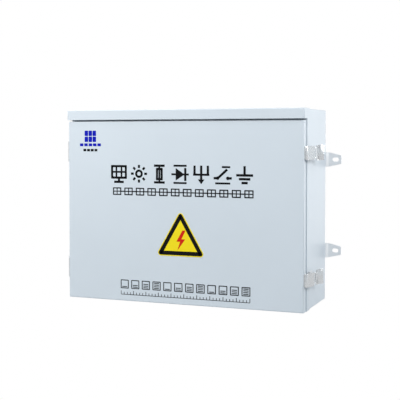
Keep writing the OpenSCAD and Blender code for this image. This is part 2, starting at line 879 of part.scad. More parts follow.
// Slotted wiring duct with its cover on, open at both ends
module wiring_duct() {
    x1 = duct_x0 + duct_slots * duct_pitch;
    half = duct_h / 2;
    wall = 1.6;
    color("gray") on_plate(0, duct_z) difference() {
        block(duct_x0, x1, -duct_q, 0, -half, half);
        block(duct_x0 - 1, x1 + 1, -duct_q + wall, -wall, -half + wall, half - wall);
        for (i = [0:duct_slots - 1])
            translate([duct_x0 + (i + 0.5) * duct_pitch, 0, 0])
                block(-duct_slot / 2, duct_slot / 2, -duct_q + 7, -7, -half - 1, half + 1);
    }
}

// ---------------------------------------------------------------- fuse holders

module fuse_base() {
    half_w = fuse_base_w / 2;
    half = fuse_h / 2;
    slot = half_w - fuse_wall;
    color("dimgray") difference() {
        prism_x(-half_w, half_w) polygon(flip([
            [1, -half], [38, -half], [43, -24], [56, -23], [56, 22], [43, 24], [38, half],
            [1, half]]));
        block(-half_w - 1, half_w + 1, -rail_d - 0.1, 1, -rail_h / 2 - 0.3, rail_h / 2 + 0.3);
        block(-slot, slot, -60, -26, -30, 30);
        rod_x(-half_w - 1, half_w + 1, 1.55, -fuse_pivot[0], fuse_pivot[1]);
        for (s = [-1, 1]) {
            translate([0, 0, s * half]) rod_z(-12, 12, 3.5, 0, -terminal_q);
            rod_y(-60, -30, 2.6, 0, s * 35);
        }
    }
}

module fuse_bases() {
    for (i = [0:strings - 1]) on_plate(fuse_x + i * module_w, lower_rail_z) fuse_base();
}

// Swinging carrier with its handle, and the two pivot stubs in the base's walls
module fuse_carrier(i) {
    half_w = fuse_base_w / 2 - fuse_wall - 0.3;
    cavity = fuse_r + 0.25;
    color("lightgray") on_plate(fuse_x + (i - 1) * module_w, lower_rail_z) {
        difference() {
            prism_x(-half_w, half_w) polygon(flip([
                [30, -21], [58, -21], [60, -19], [60, 5], [67, 9], [67, 12], [60, 20],
                [58, 21], [30, 21]]));
            block(-cavity, cavity, -fuse_q - cavity, -20, -fuse_l / 2 - 0.3, fuse_l / 2 + 0.3);
            block(-2.5, 2.5, -61, -59, -14, -6);
        }
        rod_x(-half_w - 1.8, half_w + 1.8, 1.5, -fuse_pivot[0], fuse_pivot[1]);
    }
}

module fuse_link(i) {
    cap = 9.5;
    color("white") on_plate(fuse_x + (i - 1) * module_w, lower_rail_z) {
        rod_z(-fuse_l / 2, fuse_l / 2, fuse_r - 0.25, 0, -fuse_q);
        for (s = [-1, 1]) translate([0, 0, s * (fuse_l - cap) / 2])
            rod_z(-cap / 2, cap / 2, fuse_r, 0, -fuse_q);
    }
}

// ---------------------------------------------------------------- busbars

// Positive and negative bars stand on two insulators each
module at_bars() {
    for (z = [positive_z, negative_z]) translate([0, plate_y, z]) children();
}

module busbar() {
    front = -bar_q - bar_t;
    difference() {
        prism_y(front, -bar_q) translate([(bar_x0 + bar_x1) / 2, 0])
            rounded_rect(bar_x1 - bar_x0, bar_w, 3);
        for (x = concat(string_xs, [link_x]))
            rod_y(front - 1, -bar_q + 1, bolt_r + 0.1, x, bolt_z);
        for (x = post_xs) rod_y(front - 1, -bar_q + 1, bolt_r + 0.1, x, 0);
    }
}

module busbars() {
    color("peru") at_bars() busbar();
}

module busbar_insulators() {
    color("firebrick") at_bars() for (x = post_xs) {
        rod_y(-9, 0, 8, x, 0);
        rod_y(-17, -9, 10, x, 0);
        rod_y(-bar_q, -17, 8, x, 0);
    }
}

// Bars' bolts with their nuts behind the cable lugs, and the breaker's terminal bolts
module terminal_bolts() {
    front = -bar_q - bar_t;
    tongue = -bar_q + lug_tongue_t;
    color("silver") at_bars() {
        for (x = concat(string_xs, [link_x])) {
            drop = x == link_x ? lug_tongue_t : 0;
            hex_y(front - drop - 4, front - drop, 10, x, bolt_z);
            rod_y(front - drop, tongue + 6, bolt_r, x, bolt_z);
            difference() {
                hex_y(tongue, tongue + 5, 10, x, bolt_z);
                rod_y(tongue - 1, tongue + 7, bolt_r + 0.03, x, bolt_z);
            }
        }
        for (x = post_xs) {
            rod_y(front - 1.4, front, 6, x, 0);
            hex_y(front - 5.4, front - 1.4, 10, x, 0);
            rod_y(front, -bar_q, bolt_r, x, 0);
        }
    }
    color("silver") on_plate(breaker_x, breaker_z) for (i = [-1.5:1:1.5], s = [-1, 1]) {
        drop = (abs(i) > 1 && s > 0) ? lug_tongue_t : 0;
        rod_y(front - drop - 1.4, front - drop, 7.5, i * pole_w, s * terminal_screw_z);
        hex_y(front - drop - 6.4, front - drop - 1.4, 13, i * pole_w, s * terminal_screw_z);
        rod_y(front - drop, -14, 4, i * pole_w, s * terminal_screw_z);
    }
}

// Hall-effect strip: one window for each string's wire
module current_sensor() {
    x0 = fuse_x - module_w / 2 - 6;
    x1 = fuse_x + (strings - 0.5) * module_w + 6;
    color("darkgreen") difference() {
        union() {
            block(x0, x1, plate_y - 3, plate_y, sensor_z - 20, sensor_z + 20);
            block(x0 + 5, x1 - 5, plate_y - 30, plate_y - 3, sensor_z - sensor_h / 2,
                  sensor_z + sensor_h / 2);
        }
        for (i = [0:strings - 1])
            rod_z(sensor_z - 20, sensor_z + 20, 5, string_xs[i], plate_y - terminal_q);
        for (x = [x0 + 4, x1 - 4], z = [-16, 16])
            rod_y(plate_y - 4, plate_y + 1, 1.7, x, sensor_z + z);
    }
}

// ---------------------------------------------------------------- circuit breaker

module breaker_case() {
    half_w = breaker_w / 2;
    half = breaker_h / 2;
    terminal_z = half - 26;
    color("darkslategray") on_plate(breaker_x, breaker_z) difference() {
        union() {
            prism_x(-half_w, half_w) polygon(flip([
                [0, -half], [breaker_case_q - 22, -half], [breaker_case_q - 22, -terminal_z],
                [breaker_case_q, -terminal_z + 3], [breaker_case_q, terminal_z - 3],
                [breaker_case_q - 22, terminal_z], [breaker_case_q - 22, half], [0, half]]));
            prism_x(-half_w + 3, half_w - 3) polygon(flip([
                [breaker_case_q - 2, -34], [breaker_case_q + 16, -30],
                [breaker_case_q + 16, 30], [breaker_case_q - 2, 34]]));
        }
        // Terminal bays, one for each pole at both ends
        for (i = [-1.5:1:1.5], s = [-1, 1]) {
            block(i * pole_w - 12, i * pole_w + 12, -90, -terminal_floor_q,
                  min(s * (terminal_z + 3), s * (half + 1)),
                  max(s * (terminal_z + 3), s * (half + 1)));
            rod_y(-terminal_floor_q - 1, -10, 4.05, i * pole_w, s * terminal_screw_z);
        }
        // Handle well
        block(-17, 17, -100, -30, -26, 26);
        rod_x(-21, 21, 2.55, -handle_pivot_q, 0);
    }
}

// Toggle handle, tilted up in the ON position, on its own short axle
module breaker_handle() {
    color("white") on_plate(breaker_x, breaker_z)
        translate([0, -handle_pivot_q, 0]) rotate([-handle_tilt, 0, 0]) {
            rod_x(-20.5, 20.5, 2.5, 0, 0);
            prism_x(-16, 16) {
                intersection() {
                    circle(21.5);
                    translate([-21.5, -15]) square([24, 30]);
                }
            }
            prism_x(-11, 11) polygon(flip([[18, -6], [44, -4], [45, -3], [45, 3], [44, 4],
                                           [18, 6]]));
        }
}

// ---------------------------------------------------------------- surge arrester

module surge_base() {
    half = spd_h / 2;
    x0 = -module_w / 2;
    x1 = 2.5 * module_w;
    color("whitesmoke") on_plate(spd_x, lower_rail_z) difference() {
        prism_x(x0, x1) polygon(flip([
            [1, -half], [38, -half], [44, -25], [44, -23], [spd_slot_q, -23],
            [spd_slot_q, 23], [44, 23], [44, 25], [38, half], [1, half]]));
        block(x0 - 1, x1 + 1, -rail_d - 0.1, 1, -rail_h / 2 - 0.3, rail_h / 2 + 0.3);
        for (i = [0:2]) for (s = [-1, 1]) {
            block(i * module_w - 0.8, i * module_w + 0.8, -spd_slot_q - 1, -spd_slot_q + 7,
                  s * 13 - 4.6, s * 13 + 4.6);
            translate([i * module_w, 0, s * half]) rod_z(-12, 12, 3.5, 0, -terminal_q);
            rod_y(-60, -30, 2.6, i * module_w, s * 36);
        }
    }
}

// Plug-in module with two contact blades
module surge_module(i) {
    half_w = module_w / 2 - 0.3;
    rear = spd_slot_q + 0.3;
    colours = ["royalblue", "dimgray", "seagreen"];
    color(colours[i - 1]) on_plate(spd_x + (i - 1) * module_w, lower_rail_z) {
        difference() {
            prism_x(-half_w, half_w) polygon(flip([
                [rear, -22.6], [52, -22.6], [58, -18], [58, 18], [52, 22.6],
                [rear, 22.6]]));
            block(-3.5, 3.5, -60, -57, 4, 12);
        }
        for (s = [-1, 1])
            block(-0.5, 0.5, -rear - 0.5, -rear + 6, s * 13 - 4, s * 13 + 4);
    }
}

// ---------------------------------------------------------------- monitor and earth bar

module monitor_unit() {
    half_w = monitor_w / 2;
    half = monitor_h / 2;
    color("lightgray") on_plate(monitor_x, upper_rail_z) difference() {
        prism_x(-half_w, half_w) polygon(flip([
            [1, -half], [40, -half], [40, -24], [58, -22], [58, 22], [40, 24], [40, half],
            [1, half]]));
        block(-half_w - 1, half_w + 1, -rail_d - 0.1, 1, -rail_h / 2 - 0.3, rail_h / 2 + 0.3);
        block(-34, 6, -59, -57, -12, 14);
    }
    color("limegreen") on_plate(monitor_x, upper_rail_z)
        for (s = [-1, 1], x = [-24, 24]) difference() {
            block(x - 20, x + 20, -50, -40, min(s * 28, s * 40), max(s * 28, s * 40));
            for (i = [-3.5:1:3.5]) rod_y(-51, -46, 1.5, x + i * 5, s * 36);
        }
}

module earth_bar() {
    color("goldenrod") on_plate(earth_x, earth_z) difference() {
        block(-earth_l / 2, earth_l / 2, -22, -14, -6, 6);
        for (x = [-earth_l / 2 + 16 : 12 : earth_l / 2 - 16]) rod_y(-23, -16, 2.5, x, 0);
    }
    color("silver") on_plate(earth_x, earth_z) for (x = [-1, 1])
        rod_y(-14, 0, 5, x * (earth_l / 2 - 6), 0);
}

// ---------------------------------------------------------------- wires

// Round wire along a path of level and upright runs, [x, z], with round bends
module wire(path, r, bend) {
    last = len(path) - 1;
    for (i = [0:last - 1]) {
        a = path[i];
        b = path[i + 1];
        run = norm(b - a);
        dir = (b - a) / run;
        from = i == 0 ? 0 : bend;
        to = i == last - 1 ? run : run - bend;
        translate([a[0] + dir[0] * from, 0, a[1] + dir[1] * from])
            rotate([0, dir[0] * 90 + (dir[1] < 0 ? 180 : 0), 0])
            cylinder(r = r, h = to - from);
        if (i > 0) elbow(path[i - 1], a, b, r, bend);
    }
}

// Quarter bend at the corner b between the runs a-b and b-c
module elbow(a, b, c, r, bend) {
    back = (a - b) / norm(a - b);
    ahead = (c - b) / norm(c - b);
    centre = b + (back + ahead) * bend;
    out = -(back + ahead);
    start = atan2(out[1], out[0]) - 45;
    translate([centre[0], 0, centre[1]]) rotate([90, 0, 0])
        rotate([0, 0, start]) rotate_extrude(angle = 90) translate([bend, 0]) circle(r);
}

// Crimped cable lug: its barrel below the bolt and its tongue around it
module cable_lug(r, reach, barrel_q, tongue_q, t) {
    w = 2 * r + 3;
    difference() {
        union() {
            rod_z(-reach, -reach + 2.5 * r, r + 0.6, 0, -barrel_q);
            block(-w / 2, w / 2, -tongue_q - t, -tongue_q, -reach + 2.5 * r - 1, bolt_r + 4);
            block(-r, r, -tongue_q - t, -barrel_q, -reach + 2.5 * r - 1.5, -reach + 2.5 * r + 1);
        }
        rod_y(-tongue_q - t - 1, -tongue_q + 1, bolt_r + 0.1, 0, 0);
    }
}

// Wires made in the factory: strings, surge modules, earth and the sensor's lead
module device_wires() {
    top = lower_rail_z + fuse_h / 2;
    bar_bolt = positive_z + bolt_z;
    reach = 16;
    tongue = bar_q - lug_tongue_t;
    color("red") on_plate(0, 0) translate([0, -terminal_q, 0])
        for (x = string_xs) wire([[x, top - 10], [x, bar_bolt - reach]], wire_r, wire_bend);
    color("red") on_plate(0, 0) translate([0, -terminal_q, 0])
        wire([[spd_x, lower_rail_z + spd_h / 2 - 10], [spd_x, positive_z - 32],
              [link_x, positive_z - 32], [link_x, bar_bolt - reach]], wire_r, wire_bend);
    color("black") on_plate(0, 0) translate([0, -terminal_q, 0])
        wire([[spd_x + 2 * module_w, lower_rail_z + spd_h / 2 - 10],
              [spd_x + 2 * module_w, negative_z - 34],
              [link_x, negative_z - 34], [link_x, negative_z + bolt_z - reach]],
             wire_r, wire_bend);
    color("green") on_plate(0, 0) translate([0, -terminal_q, 0])
        wire([[spd_x + module_w, lower_rail_z - spd_h / 2 + 10],
              [spd_x + module_w, earth_z], [earth_x - earth_l / 2, earth_z]],
             wire_r - 0.4, wire_bend);
    color("gray") on_plate(0, 0) translate([0, -6, 0])
        wire([[string_xs[strings - 1] + module_w / 2 + 1, sensor_z], [monitor_x - 20, sensor_z],
              [monitor_x - 20, upper_rail_z - monitor_h / 2]], 2, wire_bend);
    color("peru") on_plate(0, 0) {
        for (x = string_xs) translate([x, 0, bar_bolt])
            cable_lug(wire_r, reach, terminal_q, tongue, lug_tongue_t);
        for (z = [positive_z, negative_z]) translate([link_x, 0, z + bolt_z])
            cable_lug(wire_r, reach, terminal_q, tongue, lug_tongue_t);
    }
}

// Heavy cable lug around a bolt, with its barrel on one side
module heavy_lug() {
    w = 2 * cable_r + 2;
    neck = lug_reach_q - 2.5 * cable_r;
    face = -bar_q - bar_t;
    difference() {
        union() {
            rod_z(-lug_reach_q, -neck, cable_r + 0.6, 0, -cable_q);
            block(-w / 2, w / 2, face - lug_tongue_t, face, -neck - 2, w / 2);
        }
        rod_y(face - lug_tongue_t - 1, face + 1, bolt_r + 1.2, 0, 0);
    }
}

// Heavy cables from the bars to the breaker's outer poles
module link_cables() {
    poles = [breaker_x - 1.5 * pole_w, breaker_x + 1.5 * pole_w];
    zs = [positive_z + bolt_z, negative_z + bolt_z];
    end_z = breaker_z + terminal_screw_z;
    for (i = [0, 1]) {
        riser_x = breaker_x - breaker_w / 2 - 20 - 18 * i;
        level_z = end_z + lug_reach_q + cable_bend + 2 + 18 * i;
        color(i == 0 ? "firebrick" : "black") on_plate(0, 0) translate([0, -cable_q, 0])
            wire([[link_x + lug_reach_q, zs[i]], [riser_x, zs[i]], [riser_x, level_z],
                  [poles[i], level_z], [poles[i], end_z + lug_reach_q]], cable_r, cable_bend);
        color("peru") {
            on_plate(link_x, zs[i]) rotate([0, -90, 0]) heavy_lug();
            on_plate(poles[i], end_z) rotate([0, 180, 0]) heavy_lug();
        }
    }
}

// ---------------------------------------------------------------- nodes

body_shell();
front_frame();
rain_hood();
gland_plate();
gland_plate_seal();
gland_plate_screws();
string_glands();
output_glands();
wall_lugs();
lug_bolts();
door_panel();
door_stiffeners();
door_gasket();
hazard_label();
drawing_pocket();
hinge_body_leaves();
hinge_door_leaves();
hinge_pins();
hinge_body_screws();
hinge_door_screws();
at_latch(1) latch_base();  // upper_latch_base
at_latch(-1) latch_base();  // lower_latch_base
at_latch(1) latch_lever();  // upper_latch_lever
at_latch(-1) latch_lever();  // lower_latch_lever
at_latch(1) latch_bail();  // upper_latch_bail
at_latch(-1) latch_bail();  // lower_latch_bail
latch_catches();
latch_base_rivets();
latch_catch_rivets();
mounting_plate();
plate_studs();
din_rails();
wiring_duct();
fuse_bases();
for (i = [1:strings]) {
    fuse_carrier(i);
    fuse_link(i);
}
busbars();
busbar_insulators();
terminal_bolts();
current_sensor();
breaker_case();
breaker_handle();
surge_base();
for (i = [1:3])
    surge_module(i);
monitor_unit();
earth_bar();
device_wires();
link_cables();
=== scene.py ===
"""Looks of a wall-mounted dc combiner box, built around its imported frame."""

import logging
import math
from dataclasses import dataclass
from enum import Enum
from typing import Callable, Iterable, Sequence, Union

import bmesh
import bpy
from mathutils import Matrix, Vector


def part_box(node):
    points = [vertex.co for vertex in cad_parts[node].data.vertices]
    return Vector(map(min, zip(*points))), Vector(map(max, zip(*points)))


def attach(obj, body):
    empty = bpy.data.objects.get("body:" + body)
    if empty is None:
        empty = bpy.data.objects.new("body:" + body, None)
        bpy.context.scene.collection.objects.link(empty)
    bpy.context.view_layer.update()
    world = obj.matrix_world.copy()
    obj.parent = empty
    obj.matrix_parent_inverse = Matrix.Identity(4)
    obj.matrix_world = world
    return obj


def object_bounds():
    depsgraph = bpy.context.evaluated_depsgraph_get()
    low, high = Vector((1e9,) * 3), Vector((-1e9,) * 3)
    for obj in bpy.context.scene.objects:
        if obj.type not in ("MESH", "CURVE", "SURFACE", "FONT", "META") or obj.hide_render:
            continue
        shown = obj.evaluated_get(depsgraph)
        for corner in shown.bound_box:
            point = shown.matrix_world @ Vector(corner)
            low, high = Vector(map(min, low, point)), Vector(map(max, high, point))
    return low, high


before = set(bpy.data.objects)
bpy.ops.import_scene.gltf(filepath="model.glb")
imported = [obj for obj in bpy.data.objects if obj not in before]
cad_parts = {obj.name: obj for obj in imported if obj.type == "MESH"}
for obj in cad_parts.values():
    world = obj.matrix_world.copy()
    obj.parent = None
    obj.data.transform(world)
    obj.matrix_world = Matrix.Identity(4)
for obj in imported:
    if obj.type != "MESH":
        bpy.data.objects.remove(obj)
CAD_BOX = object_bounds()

MM = 0.001
Colour = tuple[float, float, float]
Point = tuple[float, float]
log = logging.getLogger("combiner_box")


# ---------------------------------------------------------------- shader maths


class Signal:
    """One output of a node tree, with the operators that the finishes use."""

    def __init__(self, tree: "Tree", socket: bpy.types.NodeSocket) -> None:
        """Keeps the tree and the socket."""
        self.tree = tree
        self.socket = socket

    def _math(self, operation: str, first: "Value", second: "Value") -> "Signal":
        """Adds one Math node.

        Args:
            operation: the Math node's operation.
            first: its first value.
            second: its second value.

        Returns:
            The node's result.
        """
        return self.tree.signal("ShaderNodeMath", {"operation": operation},
                                {0: first, 1: second}, 0)

    def __add__(self, other: "Value") -> "Signal":
        """Sum of two values."""
        return self._math("ADD", self, other)

    def __sub__(self, other: "Value") -> "Signal":
        """This value less another."""
        return self._math("SUBTRACT", self, other)

    def __rsub__(self, other: "Value") -> "Signal":
        """Another value less this one."""
        return self._math("SUBTRACT", other, self)

    def __mul__(self, other: "Value") -> "Signal":
        """Product of two values."""
        return self._math("MULTIPLY", self, other)

    def __gt__(self, other: "Value") -> "Signal":
        """1 where this value is the larger one, 0 elsewhere."""
        return self._math("GREATER_THAN", self, other)

    __radd__ = __add__
    __rmul__ = __mul__


Value = Union[Signal, float, int, tuple]


class Tree:
    """A node tree, and the one way that nodes are added to it."""

    def __init__(self, tree: bpy.types.NodeTree) -> None:
        """Keeps the tree."""
        self.tree = tree

    def node(self, kind: str, settings: dict, inputs: dict) -> bpy.types.Node:
        """Adds a node.

        Args:
            kind: the node's type.
            settings: its attributes, or a ramp's stops, which are set first.
            inputs: values or signals for its sockets, by name or number.

        Returns:
            The new node.
        """
        node = self.tree.nodes.new(kind)
        for key, value in settings.items():
            if key == "stops":
                self._fill(node.color_ramp.elements, value)
            else:
                setattr(node, key, value)
        for key, value in inputs.items():
            self.feed(node.inputs[key], value)
        return node

    def _fill(self, ramp: bpy.types.bpy_prop_collection,
              stops: Sequence[tuple[float, tuple]]) -> None:
        """Sets a ramp's stops, each a position and a colour."""
        while len(ramp) > 1:
            ramp.remove(ramp[-1])
        ramp[0].position, ramp[0].color = stops[0]
        for position, colour in stops[1:]:
            ramp.new(position).color = colour

    def signal(self, kind: str, settings: dict, inputs: dict, output: Union[str, int]) -> Signal:
        """Adds a node and gives one of its outputs.

        Args:
            kind: the node's type.
            settings: its attributes.
            inputs: values or signals for its sockets.
            output: name or number of the output.

        Returns:
            That output as a signal.
        """
        return Signal(self, self.node(kind, settings, inputs).outputs[output])

    def feed(self, socket: bpy.types.NodeSocket, value: Value) -> None:
        """Links a signal to a socket, or sets the socket's own value."""
        if isinstance(value, Signal):
            self.tree.links.new(value.socket, socket)
        else:
            socket.default_value = value


class Recipe(Tree):
    """Node tree of one material."""

    def __init__(self, name: str) -> None:
        """Starts a material with its Principled shader.

        Args:
            name: the material's name.
        """
        self.material = bpy.data.materials.new(name)
        self.material.use_nodes = True
        super().__init__(self.material.node_tree)
        self.shader = self.tree.nodes["Principled BSDF"]

    def set(self, **inputs: Value) -> None:
        """Feeds the Principled shader's sockets, with _ in place of a space."""
        for key, value in inputs.items():
            self.feed(self.shader.inputs[key.replace("_", " ")], value)

    def place(self, stretch: Sequence[float] = (1, 1, 1)) -> Signal:
        """Object coordinates, scaled by a factor along each axis."""
        spot = self.signal("ShaderNodeTexCoord", {}, {}, "Object")
        return self.signal("ShaderNodeMapping", {}, {"Vector": spot, "Scale": tuple(stretch)}, 0)

    def noise(self, size: float, detail: float = 2.0, stretch: Sequence[float] = (1, 1, 1)) -> Signal:
        """Cloudy noise.

        Args:
            size: width of its features in metres.
            detail: number of finer layers.
            stretch: scale along each axis.

        Returns:
            A value about 0.5.
        """
        return self.signal("ShaderNodeTexNoise", {}, {"Vector": self.place(stretch),
                           "Scale": 1 / size, "Detail": detail, "Roughness": 0.55}, 0)

    def cells(self, size: float, output: str) -> Signal:
        """Voronoi cells of a size in metres: their Distance or their Color."""
        return self.signal("ShaderNodeTexVoronoi", {}, {"Vector": self.place(), "Scale": 1 / size},
                           output)

    def blend(self, share: Value, first: Value, second: Value) -> Signal:
        """Mixes two colours.

        Args:
            share: 0 for the first colour and 1 for the second.
            first: a colour.
            second: a colour.

        Returns:
            The mixed colour.
        """
        return self.signal("ShaderNodeMix", {"data_type": "RGBA"},
                           {0: share, 6: first, 7: second}, 2)

    def spread(self, value: Signal, low: float, high: float) -> Signal:
        """Stretches the part of a value between low and high to 0 and 1."""
        return self.signal("ShaderNodeMapRange", {}, {"Value": value, 1: low, 2: high}, 0)

    def relief(self, height: Signal, depth: float, strength: float = 1.0) -> None:
        """Feeds a bump to the shader's normal.

        Args:
            height: the relief's height.
            depth: how far height 1 stands out, in metres.
            strength: the Bump node's strength.
        """
        bump = self.signal("ShaderNodeBump", {}, {"Height": height, "Distance": depth,
                                                  "Strength": strength}, 0)
        self.set(Normal=bump)


def shade(colour: Colour, factor: float = 1.0) -> tuple[float, float, float, float]:
    """A colour made lighter or darker, as the four numbers of a socket."""
    return (*(min(c * factor, 1.0) for c in colour), 1.0)


# ---------------------------------------------------------------- finishes


@dataclass(frozen=True)
class Finish:
    """A finish with a name and a main colour."""

    name: str
    colour: Colour
    roughness: float = 0.5

    def material(self) -> bpy.types.Material:
        """The finish's material, built on its first use."""
        ready = bpy.data.materials.get(self.name)
        if ready:
            return ready
        recipe = Recipe(self.name)
        self.dress(recipe)
        recipe.material.diffuse_color = shade(self.colour)
        return recipe.material

    def dress(self, recipe: Recipe) -> None:
        """Adds the finish's nodes; each kind of finish has its own."""
        raise NotImplementedError


@dataclass(frozen=True)
class PowderCoat(Finish):
    """Powder coat with a fine orange peel, baked on sheet steel."""

    peel: float = 0.0016

    def dress(self, recipe: Recipe) -> None:
        """Faint clouds in the colour, and peel in the relief and the gloss."""
        cloud = recipe.spread(recipe.noise(0.16, 3), 0.3, 0.7)
        speck = recipe.spread(recipe.noise(0.0009, 1), 0.3, 0.7)
        tone = recipe.blend(cloud, shade(self.colour, 0.985), shade(self.colour, 1.015))
        recipe.set(Base_Color=recipe.blend(speck * 0.35, tone, shade(self.colour, 0.95)))
        peel = recipe.noise(self.peel, 2)
        recipe.set(Roughness=peel * 0.16 + (self.roughness - 0.08))
        recipe.relief(peel, 0.00004, 0.45)


@dataclass(frozen=True)
class GalvanisedSheet(Finish):
    """Hot-dip galvanised sheet with its spangle."""

    spangle: float = 0.011

    def dress(self, recipe: Recipe) -> None:
        """Zinc crystals that differ in tone and gloss."""
        crystal = recipe.signal("ShaderNodeSeparateColor", {},
                                {0: recipe.cells(self.spangle, "Color")}, 0)
        bloom = recipe.spread(recipe.noise(0.05, 4), 0.25, 0.75)
        tone = recipe.blend(crystal, shade(self.colour, 0.86), shade(self.colour, 1.12))
        recipe.set(Metallic=1.0)
        recipe.set(Base_Color=recipe.blend(bloom * 0.3, tone, shade(self.colour, 0.82)))
        recipe.set(Roughness=crystal * 0.14 + bloom * 0.1 + (self.roughness - 0.1))
        recipe.relief(recipe.cells(self.spangle, "Distance"), 0.00003, 0.3)


class Grain(Enum):
    """Direction in which a metal was brushed or rolled."""

    ACROSS = (0.02, 1.0, 1.0)
    DEEP = (1.0, 0.02, 1.0)
    UPRIGHT = (1.0, 1.0, 0.02)


@dataclass(frozen=True)
class BrushedSteel(Finish):
    """Stainless steel with a brushed grain, or pickled pale."""

    grain: Grain = Grain.UPRIGHT
    metal: float = 1.0

    def dress(self, recipe: Recipe) -> None:
        """Long fine scratches in gloss, tone and relief."""
        scratch = recipe.noise(0.0007, 3, self.grain.value)
        smear = recipe.spread(recipe.noise(0.02, 3), 0.3, 0.7)
        recipe.set(Metallic=self.metal)
        recipe.set(Base_Color=recipe.blend(scratch, shade(self.colour, 0.88),
                                           shade(self.colour, 1.08)))
        recipe.set(Roughness=scratch * 0.22 + smear * 0.06 + (self.roughness - 0.14))
        recipe.relief(scratch, 0.00003, 0.5)


@dataclass(frozen=True)
class PlatedFastener(Finish):
    """Bright plated screws, nuts and pins."""

    def dress(self, recipe: Recipe) -> None:
        """Small stains in the plating."""
        stain = recipe.spread(recipe.noise(0.004, 4), 0.35, 0.7)
        recipe.set(Metallic=1.0)
        recipe.set(Base_Color=recipe.blend(stain, shade(self.colour), shade(self.colour, 0.78)))
        recipe.set(Roughness=stain * 0.15 + self.roughness)
        recipe.relief(recipe.noise(0.0006, 2), 0.00002, 0.4)


@dataclass(frozen=True)
class BareBar(Finish):
    """Rolled copper or brass bar that has begun to tarnish."""

    tarnish: Colour = (0.32, 0.13, 0.07)

    def dress(self, recipe: Recipe) -> None:
        """Darker patches and the lines of rolling."""
        patch = recipe.spread(recipe.noise(0.03, 5), 0.45, 0.8)
        rolled = recipe.noise(0.0008, 2, Grain.ACROSS.value)
        tone = recipe.blend(rolled, shade(self.colour, 0.9), shade(self.colour, 1.08))
        recipe.set(Metallic=1.0)
        recipe.set(Base_Color=recipe.blend(patch * 0.55, tone, shade(self.tarnish)))
        recipe.set(Roughness=patch * 0.2 + rolled * 0.12 + (self.roughness - 0.06))
        recipe.relief(rolled, 0.00002, 0.4)


@dataclass(frozen=True)
class Moulding(Finish):
    """Moulded plastic with a spark-eroded texture."""

    texture: float = 0.0007
    depth: float = 0.00003

    def dress(self, recipe: Recipe) -> None:
        """Fine grain in the relief, and flow marks in the tone."""
        grain = recipe.noise(self.texture, 2)
        flow = recipe.spread(recipe.noise(0.03, 3), 0.3, 0.7)
        recipe.set(Base_Color=recipe.blend(flow, shade(self.colour, 0.95),
                                           shade(self.colour, 1.05)))
        recipe.set(Roughness=grain * 0.16 + (self.roughness - 0.08))
        recipe.relief(grain, self.depth, 0.6)


@dataclass(frozen=True)
class Foam(Finish):
    """Closed-cell foam or rubber."""

    cell: float = 0.0009

    def dress(self, recipe: Recipe) -> None:
        """Pores in relief and tone."""
        pore = recipe.cells(self.cell, "Distance")
        dust = recipe.spread(recipe.noise(0.02, 4), 0.45, 0.8)
        recipe.set(Base_Color=recipe.blend(dust * 0.4, shade(self.colour),
                                           shade(self.colour, 1.9)))
        recipe.set(Roughness=dust * 0.08 + (self.roughness - 0.04))
        recipe.relief(pore, 0.0002, 0.6)


@dataclass(frozen=True)
class Glaze(Finish):
    """Glazed or polished surface: ceramic, resin or a lens."""

    gloss: float = 0.5

    def dress(self, recipe: Recipe) -> None:
        """Slow waves and a few specks under a clear coat."""
        wave = recipe.noise(0.006, 2)
        speck = recipe.noise(0.0012, 1) > 0.72
        recipe.set(Base_Color=recipe.blend(speck * 0.35, shade(self.colour),
                                           shade(self.colour, 0.7)))
        recipe.set(Coat_Weight=wave * 0.3 + (self.gloss - 0.15))
        recipe.set(Roughness=wave * 0.1 + (self.roughness - 0.05))
        recipe.relief(wave, 0.00008, 0.3)


@dataclass(frozen=True)
class PrintInk(Finish):
    """Screen-printed ink, or printed film, on the coating."""

    sheen: float = 0.12

    def dress(self, recipe: Recipe) -> None:
        """The mesh of the screen, and thin places in the ink."""
        mesh = recipe.noise(0.0005, 1)
        thin = recipe.spread(recipe.noise(0.012, 4), 0.55, 0.85)
        recipe.set(Base_Color=recipe.blend(thin * 0.25, shade(self.colour),
                                           shade(self.colour, 1.35)))
        recipe.set(Roughness=mesh * 0.12 + (self.roughness - 0.06), Specular_IOR_Level=self.sheen)
        recipe.relief(mesh, 0.00001, 0.5)


@dataclass(frozen=True)
class Insulation(Finish):
    """Extruded wire insulation."""

    def dress(self, recipe: Recipe) -> None:
        """Powdery bloom and slight ripples from the extruder."""
        bloom = recipe.spread(recipe.noise(0.01, 4), 0.45, 0.8)
        ripple = recipe.noise(0.002, 2)
        recipe.set(Base_Color=recipe.blend(bloom * 0.3, shade(self.colour),
                                           shade(self.colour, 1.6)))
        recipe.set(Roughness=bloom * 0.12 + (self.roughness - 0.05))
        recipe.relief(ripple, 0.00006, 0.4)


@dataclass(frozen=True)
class LitGlass(Finish):
    """Liquid-crystal glass or a lamp, lit from behind."""

    strength: float = 0.4

    def dress(self, recipe: Recipe) -> None:
        """Light that falls off a little across the piece."""
        wave = recipe.spread(recipe.noise(0.03, 2), 0.2, 0.8)
        glow = recipe.blend(wave, shade(self.colour, 0.85), shade(self.colour, 1.1))
        recipe.set(Base_Color=glow, Emission_Color=glow, Emission_Strength=self.strength)
        recipe.set(Roughness=wave * 0.08 + self.roughness, Coat_Weight=0.6)


